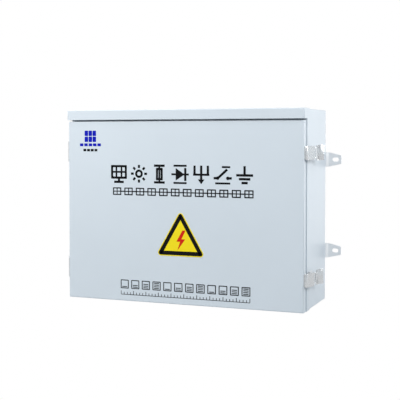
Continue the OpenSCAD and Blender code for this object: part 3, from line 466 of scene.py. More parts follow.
COAT = PowderCoat("grey_powder_coat", (0.688, 0.748, 0.803), 0.44)
GALVANISED = GalvanisedSheet("galvanised_sheet", (0.66, 0.68, 0.69), 0.42)
STEEL_UP = BrushedSteel("stainless_brushed_up", (0.80, 0.81, 0.82), 0.30, Grain.UPRIGHT)
STEEL_DEEP = BrushedSteel("stainless_brushed_deep", (0.82, 0.83, 0.84), 0.26, Grain.DEEP)
STEEL_ACROSS = BrushedSteel("stainless_brushed_across", (0.78, 0.79, 0.80), 0.30, Grain.ACROSS)
LUG_STEEL = BrushedSteel("pale_pickled_steel", (0.94, 0.96, 0.98), 0.46, Grain.ACROSS, 0.25)
PLATED = PlatedFastener("plated_fasteners", (0.70, 0.71, 0.72), 0.24)
COPPER = BareBar("copper_bar", (0.78, 0.36, 0.22), 0.30)
LUG_COPPER = PlatedFastener("tinned_copper", (0.72, 0.68, 0.64), 0.28)
BRASS = BareBar("brass_bar", (0.74, 0.54, 0.24), 0.30, (0.36, 0.22, 0.08))
SEAL = Foam("black_seal_foam", (0.030, 0.031, 0.034), 0.92)
NYLON = Moulding("black_nylon", (0.030, 0.031, 0.034), 0.40)
PLUG_RED = Moulding("red_plug", (0.52, 0.05, 0.03), 0.45)
DUCT_GREY = Moulding("grey_duct_plastic", (0.36, 0.38, 0.40), 0.48)
POCKET_GREY = Moulding("grey_pocket_plastic", (0.22, 0.24, 0.26), 0.38)
DARK = Moulding("dark_thermoset", (0.050, 0.054, 0.062), 0.50, 0.0010, 0.00005)
FUSE_BODY = Moulding("fuse_base_grey", (0.30, 0.32, 0.34), 0.48)
LIGHT = Moulding("light_grey_moulding", (0.62, 0.65, 0.66), 0.44)
HANDLE = Moulding("black_handle", (0.018, 0.018, 0.020), 0.32)
SURGE_RED = Moulding("surge_cartridge_red", (0.46, 0.035, 0.025), 0.42)
SURGE_BLUE = Moulding("surge_cartridge_blue", (0.03, 0.11, 0.42), 0.42)
SURGE_GREEN = Moulding("surge_cartridge_green", (0.03, 0.26, 0.09), 0.42)
BOARD = Glaze("green_circuit_board", (0.012, 0.16, 0.055), 0.34, 0.5)
TERMINAL_GREEN = Moulding("green_terminal_block", (0.03, 0.34, 0.10), 0.42)
CERAMIC = Glaze("fuse_ceramic", (0.80, 0.78, 0.72), 0.22, 0.7)
RESIN = Glaze("red_insulator_resin", (0.42, 0.030, 0.022), 0.30, 0.5)
INK_BLACK = PrintInk("black_ink", (0.003, 0.003, 0.004), 0.42)
INK_BLUE = PrintInk("blue_ink", (0.004, 0.010, 0.44), 0.42)
INK_RED = PrintInk("red_ink", (0.66, 0.020, 0.008), 0.40)
INK_WHITE = PrintInk("white_ink", (0.78, 0.79, 0.79), 0.45)
FILM_YELLOW = PrintInk("yellow_film", (0.96, 0.76, 0.018), 0.36)
WIRE_RED = Insulation("red_insulation", (0.50, 0.020, 0.016), 0.42)
WIRE_BLACK = Insulation("black_insulation", (0.022, 0.022, 0.025), 0.42)
WIRE_GREEN = Insulation("green_yellow_insulation", (0.10, 0.36, 0.04), 0.42)
WIRE_GREY = Insulation("grey_insulation", (0.26, 0.27, 0.28), 0.46)
LCD = LitGlass("display_glass", (0.36, 0.46, 0.34), 0.18, 0.15)
LENS_GREEN = LitGlass("green_lens", (0.05, 0.60, 0.12), 0.20, 0.5)
LENS_AMBER = LitGlass("amber_lens", (0.85, 0.36, 0.03), 0.20, 0.3)
FLOOR = Finish("studio_floor", (0.34, 0.36, 0.38), 0.9)


# ---------------------------------------------------------------- carried-over nodes

FaceTest = Callable[[Vector, Vector, Vector], bool]


@dataclass(frozen=True)
class Patch:
    """Faces of a node that have a finish of their own.

    The test gets a face's centre, and the lowest and highest corners of its solid.
    """

    finish: Finish
    test: FaceTest


def solid_boxes(mesh: bpy.types.Mesh) -> list[tuple[Vector, Vector]]:
    """Finds the separate solids of a mesh of loose triangles.

    Args:
        mesh: the mesh; triangles of one solid share corner positions.

    Returns:
        For each face, the lowest and highest corners of its solid.
    """
    corner_ids: dict[tuple, int] = {}
    ids = [corner_ids.setdefault(tuple(round(c * 1e5) for c in v.co), len(corner_ids))
           for v in mesh.vertices]
    root = list(range(len(corner_ids)))

    def top(item: int) -> int:
        """The item that stands for this item's solid."""
        while root[item] != item:
            root[item] = root[root[item]]
            item = root[item]
        return item

    for face in mesh.polygons:
        first = top(ids[face.vertices[0]])
        for corner in face.vertices[1:]:
            root[top(ids[corner])] = first
    boxes: dict[int, tuple[Vector, Vector]] = {}
    for vertex in mesh.vertices:
        key = top(ids[vertex.index])
        low, high = boxes.get(key, (vertex.co, vertex.co))
        boxes[key] = (Vector(map(min, low, vertex.co)), Vector(map(max, high, vertex.co)))
    return [boxes[top(ids[face.vertices[0]])] for face in mesh.polygons]


def soften(piece: bpy.types.Object, width: float, merge: bool) -> None:
    """Gives a piece softly broken edges.

    Args:
        piece: the object.
        width: width of the broken edge in millimetres.
        merge: whether triangles of one flat face are merged first.
    """
    weld = piece.modifiers.new("weld", "WELD")
    weld.merge_threshold = 0.01 * MM
    if merge:
        flat = piece.modifiers.new("flat_faces", "DECIMATE")
        flat.decimate_type = "DISSOLVE"
        flat.angle_limit = math.radians(0.4)
        flat.delimit = {"MATERIAL"}
    edge = piece.modifiers.new("soft_edges", "BEVEL")
    edge.width = width * MM
    edge.segments = 2
    edge.limit_method = "ANGLE"
    edge.angle_limit = math.radians(32)
    edge.miter_outer = "MITER_ARC"
    edge.harden_normals = True


def dress_node(node: str, finish: Finish, width: float, patches: Sequence[Patch] = (),
               merge: bool = True) -> None:
    """Gives a carried-over node its finishes and its soft edges.

    Args:
        node: the node's name.
        finish: what covers all of it but the patches.
        width: width of its broken edges in millimetres.
        patches: faces with another finish; the last test that holds wins.
        merge: whether flat faces are merged first, which a face with many holes can't stand.
    """
    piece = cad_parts[node]
    mesh = piece.data
    mesh.materials.clear()
    mesh.materials.append(finish.material())
    for patch in patches:
        mesh.materials.append(patch.finish.material())
    boxes = solid_boxes(mesh) if patches else []
    for face in mesh.polygons:
        face.material_index = 0
        for slot, patch in enumerate(patches, 1):
            if patch.test(face.center, *boxes[face.index]):
                face.material_index = slot
    soften(piece, width, merge)
    log.info("%s: %s%s", node, finish.name, "".join(", " + p.finish.name for p in patches))


# ---------------------------------------------------------------- new pieces


def make_piece(name: str, bm: bmesh.types.BMesh, finish: Finish, body: str,
               move: Matrix) -> bpy.types.Object:
    """Turns a bmesh into a finished piece that rides on a body.

    Args:
        name: the piece's name.
        bm: the mesh, drawn in millimetres; it is freed.
        finish: its finish.
        body: the body that it moves with.
        move: where its drawing plane lies, in metres.

    Returns:
        The piece, at the origin, with its place in its mesh.
    """
    bmesh.ops.transform(bm, matrix=move @ Matrix.Scale(MM, 4), verts=bm.verts)
    bmesh.ops.recalc_face_normals(bm, faces=bm.faces)
    mesh = bpy.data.meshes.new(name)
    bm.to_mesh(mesh)
    bm.free()
    mesh.materials.append(finish.material())
    piece = bpy.data.objects.new(name, mesh)
    bpy.context.scene.collection.objects.link(piece)
    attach(piece, body)
    log.info("%s: %d faces on %s", name, len(mesh.polygons), body)
    return piece


def facing_front(x: float, y: float, z: float) -> Matrix:
    """Drawing plane that faces the front: x to the right, y up, z out of the face."""
    return Matrix.Translation((x, y, z)) @ Matrix.Rotation(math.radians(90), 4, "X")


class Ink:
    """Marks of one colour on a face, drawn in millimetres, each a thin raised solid."""

    RISE = 0.004

    def __init__(self, thickness: float = 0.10) -> None:
        """Starts with no marks.

        Args:
            thickness: how far the marks stand out of the face.
        """
        self.bm = bmesh.new()
        self.thickness = thickness

    def _height(self) -> float:
        """Height of the next mark; a crossing mark stands a little higher."""
        self.thickness += self.RISE
        return self.thickness

    def _raise(self, faces: Iterable[bmesh.types.BMFace]) -> None:
        """Extrudes flat faces into a solid mark."""
        grown = bmesh.ops.extrude_face_region(self.bm, geom=list(faces))
        verts = [g for g in grown["geom"] if isinstance(g, bmesh.types.BMVert)]
        bmesh.ops.translate(self.bm, verts=verts, vec=(0, 0, self._height()))

    def _outline(self, face: bmesh.types.BMFace, line: float) -> list[bmesh.types.BMFace]:
        """Turns a face into the line around its edge."""
        ring = bmesh.ops.inset_individual(self.bm, faces=[face], thickness=line, depth=0)["faces"]
        bmesh.ops.delete(self.bm, geom=[face], context="FACES")
        return ring

    def _rounded(self, verts: list[bmesh.types.BMVert], corner: float) -> bmesh.types.BMFace:
        """Rounds the corners of the one face that these vertices bound."""
        face = verts[0].link_faces[0]
        if corner <= 0:
            return face
        made = bmesh.ops.bevel(self.bm, geom=verts, offset=corner, segments=5, profile=0.5,
                               affect="VERTICES", material=-1)
        return made["verts"][0].link_faces[0]

    def bar(self, start: Point, end: Point, line: float) -> None:
        """Straight line from one point to another.

        Args:
            start: its first end.
            end: its other end.
            line: its width.
        """
        run = Vector(end) - Vector(start)
        middle = (Vector(end) + Vector(start)) / 2
        height = self._height()
        size = Matrix.Diagonal((run.length, line, height, 1))
        turn = Matrix.Rotation(math.atan2(run.y, run.x), 4, "Z")
        spot = Matrix.Translation((middle.x, middle.y, height / 2))
        bmesh.ops.create_cube(self.bm, size=1, matrix=spot @ turn @ size)

    def disc(self, centre: Point, radius: float, segments: int = 24) -> None:
        """Filled circle."""
        height = self._height()
        spot = Matrix.Translation((*centre, height / 2))
        bmesh.ops.create_cone(self.bm, cap_ends=True, segments=segments, radius1=radius,
                              radius2=radius, depth=height, matrix=spot)

    def ring(self, centre: Point, radius: float, line: float) -> None:
        """Open circle with a line of the given width inside its radius."""
        made = bmesh.ops.create_circle(self.bm, cap_ends=True, segments=40, radius=radius,
                                       matrix=Matrix.Translation((*centre, 0)))
        self._raise(self._outline(made["verts"][0].link_faces[0], line))

    def box(self, centre: Point, size: Point, corner: float, line: float = 0.0) -> None:
        """Rectangle with round corners.

        Args:
            centre: its middle.
            size: its width and height.
            corner: radius of its corners.
            line: width of its outline, or 0 for a filled one.
        """
        spot = Matrix.Translation((*centre, 0)) @ Matrix.Diagonal((*size, 1, 1))
        made = bmesh.ops.create_grid(self.bm, x_segments=1, y_segments=1, size=0.5, matrix=spot)
        face = self._rounded(made["verts"], corner)
        self._raise(self._outline(face, line) if line else [face])

    def shape(self, points: Sequence[Point], corner: float = 0.0, line: float = 0.0) -> None:
        """Polygon through a few points, filled or outlined."""
        verts = [self.bm.verts.new((*p, 0)) for p in points]
        self.bm.faces.new(verts)
        face = self._rounded(verts, corner)
        self._raise(self._outline(face, line) if line else [face])


# ---------------------------------------------------------------- sub-assemblies


def plate_front() -> float:
    """Front face of the mounting plate, in metres."""
    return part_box("mounting_plate")[0].y


@dataclass
class Enclosure:
    """Body, front frame, rain hood, door and what holds the box to the wall."""

    sheet_edge: float = 0.35
    plate_edge: float = 0.3
    pore_edge: float = 0.5

    def build(self) -> None:
        """Dresses the sheet metal, the seals and the lugs."""
        for node in ("body_shell", "front_frame", "rain_hood", "door_panel"):
            dress_node(node, COAT, self.sheet_edge)
        for node in ("gland_plate", "door_stiffeners", "mounting_plate"):
            dress_node(node, GALVANISED, self.plate_edge)
        dress_node("wall_lugs", LUG_STEEL, self.plate_edge)
        dress_node("door_gasket", SEAL, self.pore_edge)
        dress_node("gland_plate_seal", SEAL, self.plate_edge, merge=False)
        dress_node("drawing_pocket", POCKET_GREY, self.sheet_edge)
        dress_node("hazard_label", FILM_YELLOW, 0.1)


@dataclass
class DoorGraphics:
    """Printed marks on the door: plain pictograms in place of all lettering.

    Places are millimetres across and up on the door's face, from the box's middle.
    """

    title_z: float = 84.0
    title_pitch: float = 57.7
    title_line: float = 6.0
    inner_line: float = 4.8
    strip_z: float = 37.5
    strip_pitch: float = 33.0
    badge_x: float = -258.0
    badge_z: float = 181.0
    foot_x: float = 9.0
    foot_z: float = -205.5
    foot_pitch: float = 30.4
    scale_z: float = -228.0

    def build(self) -> None:
        """Prints the badge, the title, the string diagram, the foot row and the label."""
        self._print("door_print_title", self._title(), INK_BLACK)
        self._print("door_print_string_diagram", self._strip(), INK_BLACK)
        self._print("door_print_foot_cells", self._foot(), INK_BLACK)
        self._print("door_print_foot_scale", self._scale(), INK_BLACK)
        self._print("door_print_badge", self._badge(), INK_BLUE)
        self._print("door_print_badge_rule", self._badge_rule(), INK_BLACK)
        self._label()

    def _print(self, name: str, ink: Ink, finish: Finish, proud: float = 0.0) -> None:
        """Sets marks on the door's face.

        Args:
            name: the piece's name.
            ink: its marks.
            finish: its ink.
            proud: how far in front of the face its back lies, in metres.
        """
        face_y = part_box("door_panel")[0].y
        make_piece(name, ink.bm, finish, "door", facing_front(0, face_y - proud, 0))

    def _title(self) -> Ink:
        """Seven pictograms, from the panels through the box to earth."""
        ink = Ink()
        marks = (self._panel, self._sun, self._fuse, self._diode, self._combiner, self._switch,
                 self._earth)
        for i, mark in enumerate(marks):
            mark(ink, (i - 3) * self.title_pitch - 1, self.title_z)
        return ink

    def _panel(self, ink: Ink, x: float, z: float) -> None:
        """Solar panel: a frame with six cells on its stand."""
        ink.box((x, z + 4), (46, 36), 2, self.title_line)
        ink.bar((x - 21, z + 4), (x + 21, z + 4), self.inner_line)
        for shift in (-7.4, 7.4):
            ink.bar((x + shift, z - 12), (x + shift, z + 20), self.inner_line)
        ink.bar((x - 14, z - 22), (x + 14, z - 22), self.title_line)
        ink.bar((x, z - 20), (x, z - 14), self.title_line)

    def _sun(self, ink: Ink, x: float, z: float) -> None:
        """Sun with eight rays."""
        ink.ring((x, z), 11, self.title_line)
        for turn in range(8):
            way = Vector((math.cos(turn * math.pi / 4), math.sin(turn * math.pi / 4)))
            ink.bar((x + 15 * way.x, z + 15 * way.y), (x + 23 * way.x, z + 23 * way.y),
                    self.title_line)

    def _fuse(self, ink: Ink, x: float, z: float) -> None:
        """Upright fuse between two terminals."""
        ink.box((x, z), (19, 32), 1.5, self.title_line)
        ink.bar((x, z - 22), (x, z + 22), self.inner_line)
        for side in (-1, 1):
            ink.bar((x - 15, z + side * 21.5), (x + 15, z + side * 21.5), self.title_line)

    def _diode(self, ink: Ink, x: float, z: float) -> None:
        """Blocking diode on its line."""
        ink.shape(((x - 12, z - 16), (x + 12, z), (x - 12, z + 16)), 1)
        ink.bar((x + 14.3, z - 16.5), (x + 14.3, z + 16.5), self.title_line)
        ink.bar((x - 24, z), (x + 24, z), self.inner_line)
        ink.bar((x - 18, z + 22), (x + 18, z + 22), self.inner_line)
        ink.bar((x - 18, z - 22), (x + 18, z - 22), self.inner_line)

    def _combiner(self, ink: Ink, x: float, z: float) -> None:
        """Three strings that join one bar, and one way out."""
        for shift in (-18, 0, 18):
            ink.bar((x + shift, z + 1), (x + shift, z + 23), self.title_line)
        ink.bar((x - 22, z), (x + 22, z), 5.2)
        ink.bar((x, z - 14), (x, z - 1), self.title_line)
        ink.shape(((x - 9, z - 12), (x, z - 24), (x + 9, z - 12)), 0.8)

    def _switch(self, ink: Ink, x: float, z: float) -> None:
        """Open switch between two contacts."""
        ink.bar((x - 24, z - 8), (x - 14, z - 8), self.title_line)
        ink.bar((x + 14, z - 8), (x + 24, z - 8), self.title_line)
        ink.bar((x - 13, z - 8), (x + 12, z + 14), self.title_line)
        for side in (-1, 1):
            ink.disc((x + side * 13.5, z - 8), 4.4)
        ink.bar((x - 20, z - 21), (x + 20, z - 21), self.inner_line)
        ink.bar((x - 2, z + 20), (x + 20, z + 20), self.inner_line)

    def _earth(self, ink: Ink, x: float, z: float) -> None:
        """Earth: a line down to three shorter and shorter bars."""
        ink.bar((x, z), (x, z + 23), self.title_line)
        for row, half in enumerate((22, 15, 8)):
            ink.bar((x - half, z - row * 9.5), (x + half, z - row * 9.5), self.title_line)

    def _strip(self) -> Ink:
        """String diagram: twelve panels in series between two terminals."""
        ink = Ink()
        half = 5.5 * self.strip_pitch
        for i in range(12):
            x = i * self.strip_pitch - half + 2
            ink.box((x, self.strip_z), (24, 20), 1.2, 3.0)
            ink.bar((x, self.strip_z - 8.5), (x, self.strip_z + 8.5), 2.6)
            ink.bar((x - 10.5, self.strip_z), (x + 10.5, self.strip_z), 2.6)
            if i:
                ink.bar((x - self.strip_pitch + 11, self.strip_z), (x - 11, self.strip_z), 3.0)
        return ink

    def _foot(self) -> Ink:
        """Twelve level meters in a row."""
        ink = Ink()
        for i in range(12):
            x = self.foot_x + (i - 5.5) * self.foot_pitch
            ink.box((x, self.foot_z), (23, 23), 1.5, 2.3)
            for level in range(1 + (i * 5) % 4):
                ink.bar((x - 7, self.foot_z - 6.6 + 4.4 * level),
                        (x + 7, self.foot_z - 6.6 + 4.4 * level), 2.1)
        return ink

    def _scale(self) -> Ink:
        """Graduated rule with longer strokes at every fourth step."""
        ink = Ink()
        steps = 40
        pitch = 355 / steps
        left = self.foot_x - steps * pitch / 2
        ink.bar((left, self.scale_z - 4.6), (left + steps * pitch, self.scale_z - 4.6), 1.6)
        for i in range(steps + 1):
            top = 5.4 if i % 4 == 0 else 1.6
            ink.bar((left + i * pitch, self.scale_z - 4.6), (left + i * pitch, self.scale_z + top), 1.6)
        return ink

    def _badge(self) -> Ink:
        """Small panel of six solid cells with a row of blue dashes below it."""
        ink = Ink()
        for column in (-1, 0, 1):
            for row in (-1, 1):
                ink.box((self.badge_x + column * 11.8, self.badge_z + row * 7.9), (10.4, 14.2), 1.8)
        for i in range(5):
            ink.box((self.badge_x + (i - 2) * 13, self.badge_z - 22.5), (10.5, 7.5), 1.2)
        return ink

    def _badge_rule(self) -> Ink:
        """Black dashes below the badge."""
        ink = Ink()
        for i in range(4):
            ink.box((self.badge_x + (i - 1.5) * 11, self.badge_z - 36.5), (8.5, 6.5), 1)
        return ink

    def _label(self) -> None:
        """Border and zigzag on the yellow triangle, both sized from the label's own box."""
        low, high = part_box("hazard_label")
        width = (high.x - low.x) / MM
        height = (high.z - low.z) / MM
        corner = (height - width * math.sqrt(3) / 2) / (2 - math.sqrt(3))
        side = (height + corner) * 2 / math.sqrt(3)
        x = (high.x + low.x) / 2 / MM
        middle = low.z / MM + side / (2 * math.sqrt(3))
        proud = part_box("door_panel")[0].y - low.y
        border = Ink(0.06)
        rim = 2.4
        reach = side / math.sqrt(3) - 2 * rim
        corners = [(x + reach * math.cos(math.radians(a)), middle + reach * math.sin(math.radians(a)))
                   for a in (90, 210, 330)]
        border.shape(corners, max(corner - rim, 1) * math.sqrt(3), 10.6)
        self._print("hazard_label_border", border, INK_BLACK, proud)
        bolt = Ink(0.07)
        zigzag = ((6, 34), (-12, 3), (-1, 3), (-9, -21), (14, 10), (3, 10), (15, 34))
        bolt.shape([(x + u * 0.94, middle - 5 + v * 0.94) for u, v in zigzag])
        self._print("hazard_label_bolt", bolt, INK_RED, proud)


@dataclass
class Hardware:
    """Hinges, toggle latches and fasteners."""

    edge: float = 0.22

    def build(self) -> None:
        """Dresses the stainless pieces and the fasteners."""
        for side in ("upper", "lower"):
            dress_node(f"{side}_latch_base", STEEL_ACROSS, self.edge)
            dress_node(f"{side}_latch_lever", STEEL_DEEP, self.edge)
            dress_node(f"{side}_latch_bail", STEEL_DEEP, self.edge)
        dress_node("latch_catches", STEEL_DEEP, self.edge)
        for node in ("hinge_body_leaves", "hinge_door_leaves"):
            dress_node(node, STEEL_UP, self.edge)
        for node in ("hinge_pins", "hinge_body_screws", "hinge_door_screws", "latch_base_rivets",
                     "latch_catch_rivets", "lug_bolts", "gland_plate_screws", "plate_studs",
                     "terminal_bolts"):
            dress_node(node, PLATED, self.edge)


@dataclass
class CableEntry:
    """Cable glands in the floor."""

    edge: float = 0.3
    plug_reach: float = 4.9

    def build(self) -> None:
        """Dresses the glands; the small ones carry red plugs."""
        def on_plug(centre: Vector, low: Vector, high: Vector) -> bool:
            """Whether a face belongs to the plug in a closed gland's domed nut."""
            middle = (low + high) / 2
            away = math.hypot(centre.x - middle.x, centre.y - middle.y)
            return away < self.plug_reach * MM and centre.z < low.z + 1.7 * MM

        dress_node("string_glands", NYLON, self.edge, [Patch(PLUG_RED, on_plug)])
        dress_node("output_glands", NYLON, self.edge)


class ScrewDrive(Enum):
    """Recess of a screw head."""

    SLOT = 1
    CROSS = 2


@dataclass
class ScrewField:
    """Equal screw heads that face the front, made as one piece."""

    name: str
    radius: float
    drive: ScrewDrive
    slot: str = "bright_fasteners"
    thickness: float = 1.2

    def build(self, spots: Iterable[Vector]) -> None:
        """Makes the heads.

        Args:
            spots: the points where the heads' backs lie, in metres.
        """
        head = self._head()
        bm = bmesh.new()
        for number, spot in enumerate(spots):
            before = len(bm.verts)
            bm.from_mesh(head)
            bm.verts.ensure_lookup_table()
            place = (Matrix.Translation(spot / MM) @ facing_front(0, 0, 0)
                     @ Matrix.Rotation(0.7 * number, 4, "Z"))
            bmesh.ops.transform(bm, matrix=place, verts=bm.verts[before:])
        bpy.data.meshes.remove(head)
        make_piece(self.name, bm, PLATED, "root", Matrix.Identity(4))

    def _head(self) -> bpy.types.Mesh:
        """One head: a domed disc whose recess is pressed into its face.

        Returns:
            The head's mesh, in millimetres, with its back in the drawing plane.
        """
        bm = bmesh.new()
        arm = self.radius * (0.78 if self.drive is ScrewDrive.SLOT else 0.62)
        half = self.radius * 0.15
        cut = 0.45 * self.thickness
        bmesh.ops.create_grid(bm, x_segments=3, y_segments=3, size=1)
        steps = {-1.0: -1.0, -1 / 3: -half / arm, 1 / 3: half / arm, 1.0: 1.0}
        for vert in bm.verts:
            across, up = (steps[min(steps, key=lambda s: abs(s - c))] for c in vert.co.xy)
            vert.co = (across * arm, up * arm, self.thickness)
        slot = self.drive is ScrewDrive.SLOT
        pressed = [f for f in bm.faces
                   if abs(f.calc_center_median().y) < half
                   or (not slot and abs(f.calc_center_median().x) < half)]
        rim = bmesh.ops.extrude_edge_only(bm, edges=[e for e in bm.edges if e.is_boundary])
        outer = [g for g in rim["geom"] if isinstance(g, bmesh.types.BMVert)]
        for vert in outer:
            away = Vector((vert.co.x, vert.co.y)).normalized() * self.radius * 0.9
            vert.co = (away.x, away.y, self.thickness * 0.92)
        for reach, level in ((1.0, 0.7), (1.0, 0.0)):
            rim = bmesh.ops.extrude_edge_only(bm, edges=[e for e in bm.edges if e.is_boundary])
            outer = [g for g in rim["geom"] if isinstance(g, bmesh.types.BMVert)]
            for vert in outer:
                away = Vector((vert.co.x, vert.co.y)).normalized() * self.radius * reach
                vert.co = (away.x, away.y, self.thickness * level)
        bmesh.ops.holes_fill(bm, edges=[e for e in bm.edges if e.is_boundary], sides=0)
        bmesh.ops.inset_region(bm, faces=pressed, thickness=0.001, depth=0)
        bmesh.ops.translate(bm, verts=list({v for f in pressed for v in f.verts}), vec=(0, 0, -cut))
        mesh = bpy.data.meshes.new(self.name + "_head")
        bm.to_mesh(mesh)
        bm.free()
        return mesh


@dataclass
class FuseBank:
    """Fuse bases, their swinging carriers and the fuse links."""

    edge: float = 0.4
    cap: float = 9.5
    screw_z: float = 35.0
    screw_q: float = 30.0
    base_w: float = 17.6
    lamp_q: float = 59.0
    lamp_drop: float = 10.0
    count: int = 6

    def build(self) -> None:
        """Dresses the bank, and adds its terminal screws and blown-fuse lamps."""
        dress_node("fuse_bases", FUSE_BODY, self.edge)
        for number in range(1, self.count + 1):
            dress_node(f"fuse_carrier_{number}", LIGHT, self.edge, merge=False)
            self._link(number)
            self._lamp(number)
        low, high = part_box("fuse_bases")
        pitch = (high.x - low.x - self.base_w * MM) / (self.count - 1)
        middle = (low.z + high.z) / 2
        spots = [Vector((low.x + self.base_w / 2 * MM + i * pitch,
                         plate_front() - self.screw_q * MM, middle + side * self.screw_z * MM))
                 for i in range(self.count) for side in (-1, 1)]
        ScrewField("fuse_terminal_screws", 2.3, ScrewDrive.CROSS).build(spots)

    def _link(self, number: int) -> None:
        """Dresses one fuse link: a ceramic tube between two plated caps."""
        low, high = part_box(f"fuse_link_{number}")
        middle = (low.z + high.z) / 2
        reach = (high.z - low.z) / 2 - self.cap * MM

        def on_cap(centre: Vector, _low: Vector, _high: Vector) -> bool:
            """Whether a face lies on an end cap."""
            return abs(centre.z - middle) > reach

        dress_node(f"fuse_link_{number}", CERAMIC, 0.15, [Patch(PLATED, on_cap)])

    def _lamp(self, number: int) -> None:
        """Adds the blown-fuse lamp in the carrier's small window."""
        low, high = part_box(f"fuse_carrier_{number}")
        lamp = Ink(0.9)
        lamp.box((0, 0), (4.6, 7.6), 1)
        spot = facing_front((low.x + high.x) / 2, plate_front() - self.lamp_q * MM,
                            (low.z + high.z) / 2 - self.lamp_drop * MM)
        make_piece(f"fuse_carrier_{number}_lamp", lamp.bm, LENS_AMBER, f"fuse_carrier_{number}",
                   spot)


@dataclass
class Busbars:
    """Copper bars on their insulators, and the factory wires."""

    edge: float = 0.3
    wire_lug: float = 23.0
    cable_lug: float = 33.5

    def build(self) -> None:
        """Dresses the bars, posts and wires."""
        foot_y = plate_front() - 13.9 * MM
        breaker_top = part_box("breaker_case")[1].z

        def on_foot(centre: Vector, _low: Vector, _high: Vector) -> bool:
            """Whether a face lies on one of the earth bar's feet."""
            return centre.y > foot_y

        def on_wire_lug(centre: Vector, low: Vector, high: Vector) -> bool:
            """Whether a face lies on the lug at the top of a wire that rises to a bar."""
            return high.x - low.x < 40 * MM and centre.z > high.z - self.wire_lug * MM

        def on_cable_lug(centre: Vector, low: Vector, high: Vector) -> bool:
            """Whether a face lies on a heavy cable's lug, at its bar or at the breaker."""
            at_bar = centre.x < low.x + self.cable_lug * MM
            at_breaker = centre.x > high.x - 16 * MM and centre.z < breaker_top + 15.2 * MM
            return at_bar or at_breaker

        dress_node("busbars", COPPER, self.edge)
        dress_node("busbar_insulators", RESIN, self.edge)
        dress_node("earth_bar", BRASS, self.edge, [Patch(PLATED, on_foot)])
        breaker_x = sum(c.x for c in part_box("breaker_case")) / 2
        dress_node("device_wires", WIRE_RED, 0.12, [
            Patch(WIRE_BLACK, lambda c, low, high: low.z < -60 * MM < 60 * MM < high.z),
            Patch(WIRE_GREEN, lambda c, low, high: high.x > breaker_x - 70 * MM),
            Patch(WIRE_GREY, lambda c, low, high: high.x - low.x > 60 * MM
                  and high.x < breaker_x - 70 * MM),
            Patch(LUG_COPPER, on_wire_lug)])
        dress_node("link_cables", WIRE_RED, 0.2, [
            Patch(WIRE_BLACK, lambda c, low, high: high.x > breaker_x),
            Patch(LUG_COPPER, on_cable_lug)])


@dataclass
class Breaker:
    """Moulded-case breaker with its plain marks."""

    edge: float = 0.6
    front_q: float = 80.0

    def build(self) -> None:
        """Dresses the breaker, and adds its rating plate and its handle's marks."""
        dress_node("breaker_case", DARK, self.edge)
        dress_node("breaker_handle", HANDLE, 0.5)
        low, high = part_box("breaker_case")
        x = (low.x + high.x) / 2
        z = (low.z + high.z) / 2
        spot = facing_front(x, plate_front() - self.front_q * MM, z)
        plate = Ink()
        plate.box((-43, 0), (38, 44), 2)
        plate.box((43, 0), (38, 44), 2)
        make_piece("breaker_rating_plates", plate.bm, INK_WHITE, "root", spot)
        lines = Ink(0.16)
        for side in (-43, 43):
            for row in range(6):
                length = (30, 22, 30, 16, 26, 20)[row]
                lines.bar((side - 15, 16 - row * 6.4), (side - 15 + length, 16 - row * 6.4), 1.6)
        make_piece("breaker_rating_lines", lines.bm, INK_BLACK, "root", spot)
        marks = Ink()
        marks.bar((20.5, 12), (20.5, 22), 2)
        marks.ring((20.5, -17), 2.9, 0.9)
        make_piece("breaker_on_off_marks", marks.bm, INK_WHITE, "root", spot)


@dataclass
class SurgeArrester:
    """Base with three plug-in modules."""

    edge: float = 0.4
    screw_z: float = 36.0

    def build(self) -> None:
        """Dresses the base and modules, and adds screws and status windows."""
        dress_node("surge_base", LIGHT, self.edge)
        base_low, base_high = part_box("surge_base")
        middle = (base_low.z + base_high.z) / 2
        screws = []
        for number, finish in enumerate((SURGE_RED, SURGE_GREEN, SURGE_BLUE), 1):
            node = f"surge_module_{number}"
            dress_node(node, finish, self.edge, merge=False)
            low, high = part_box(node)
            x = (low.x + high.x) / 2
            window = Ink(0.9)
            window.box((0, 8), (6.6, 7.6), 0.8)
            make_piece(node + "_window", window.bm, LENS_GREEN, node,
                       facing_front(x, plate_front() - 57 * MM, middle))
            label = Ink()
            label.box((0, -6), (11, 13), 0.8)
            make_piece(node + "_label", label.bm, INK_WHITE, node,
                       facing_front(x, low.y, middle))
            screws += [Vector((x, plate_front() - 30 * MM, middle + side * self.screw_z * MM))
                       for side in (-1, 1)]
        ScrewField("surge_terminal_screws", 2.3, ScrewDrive.CROSS).build(screws)


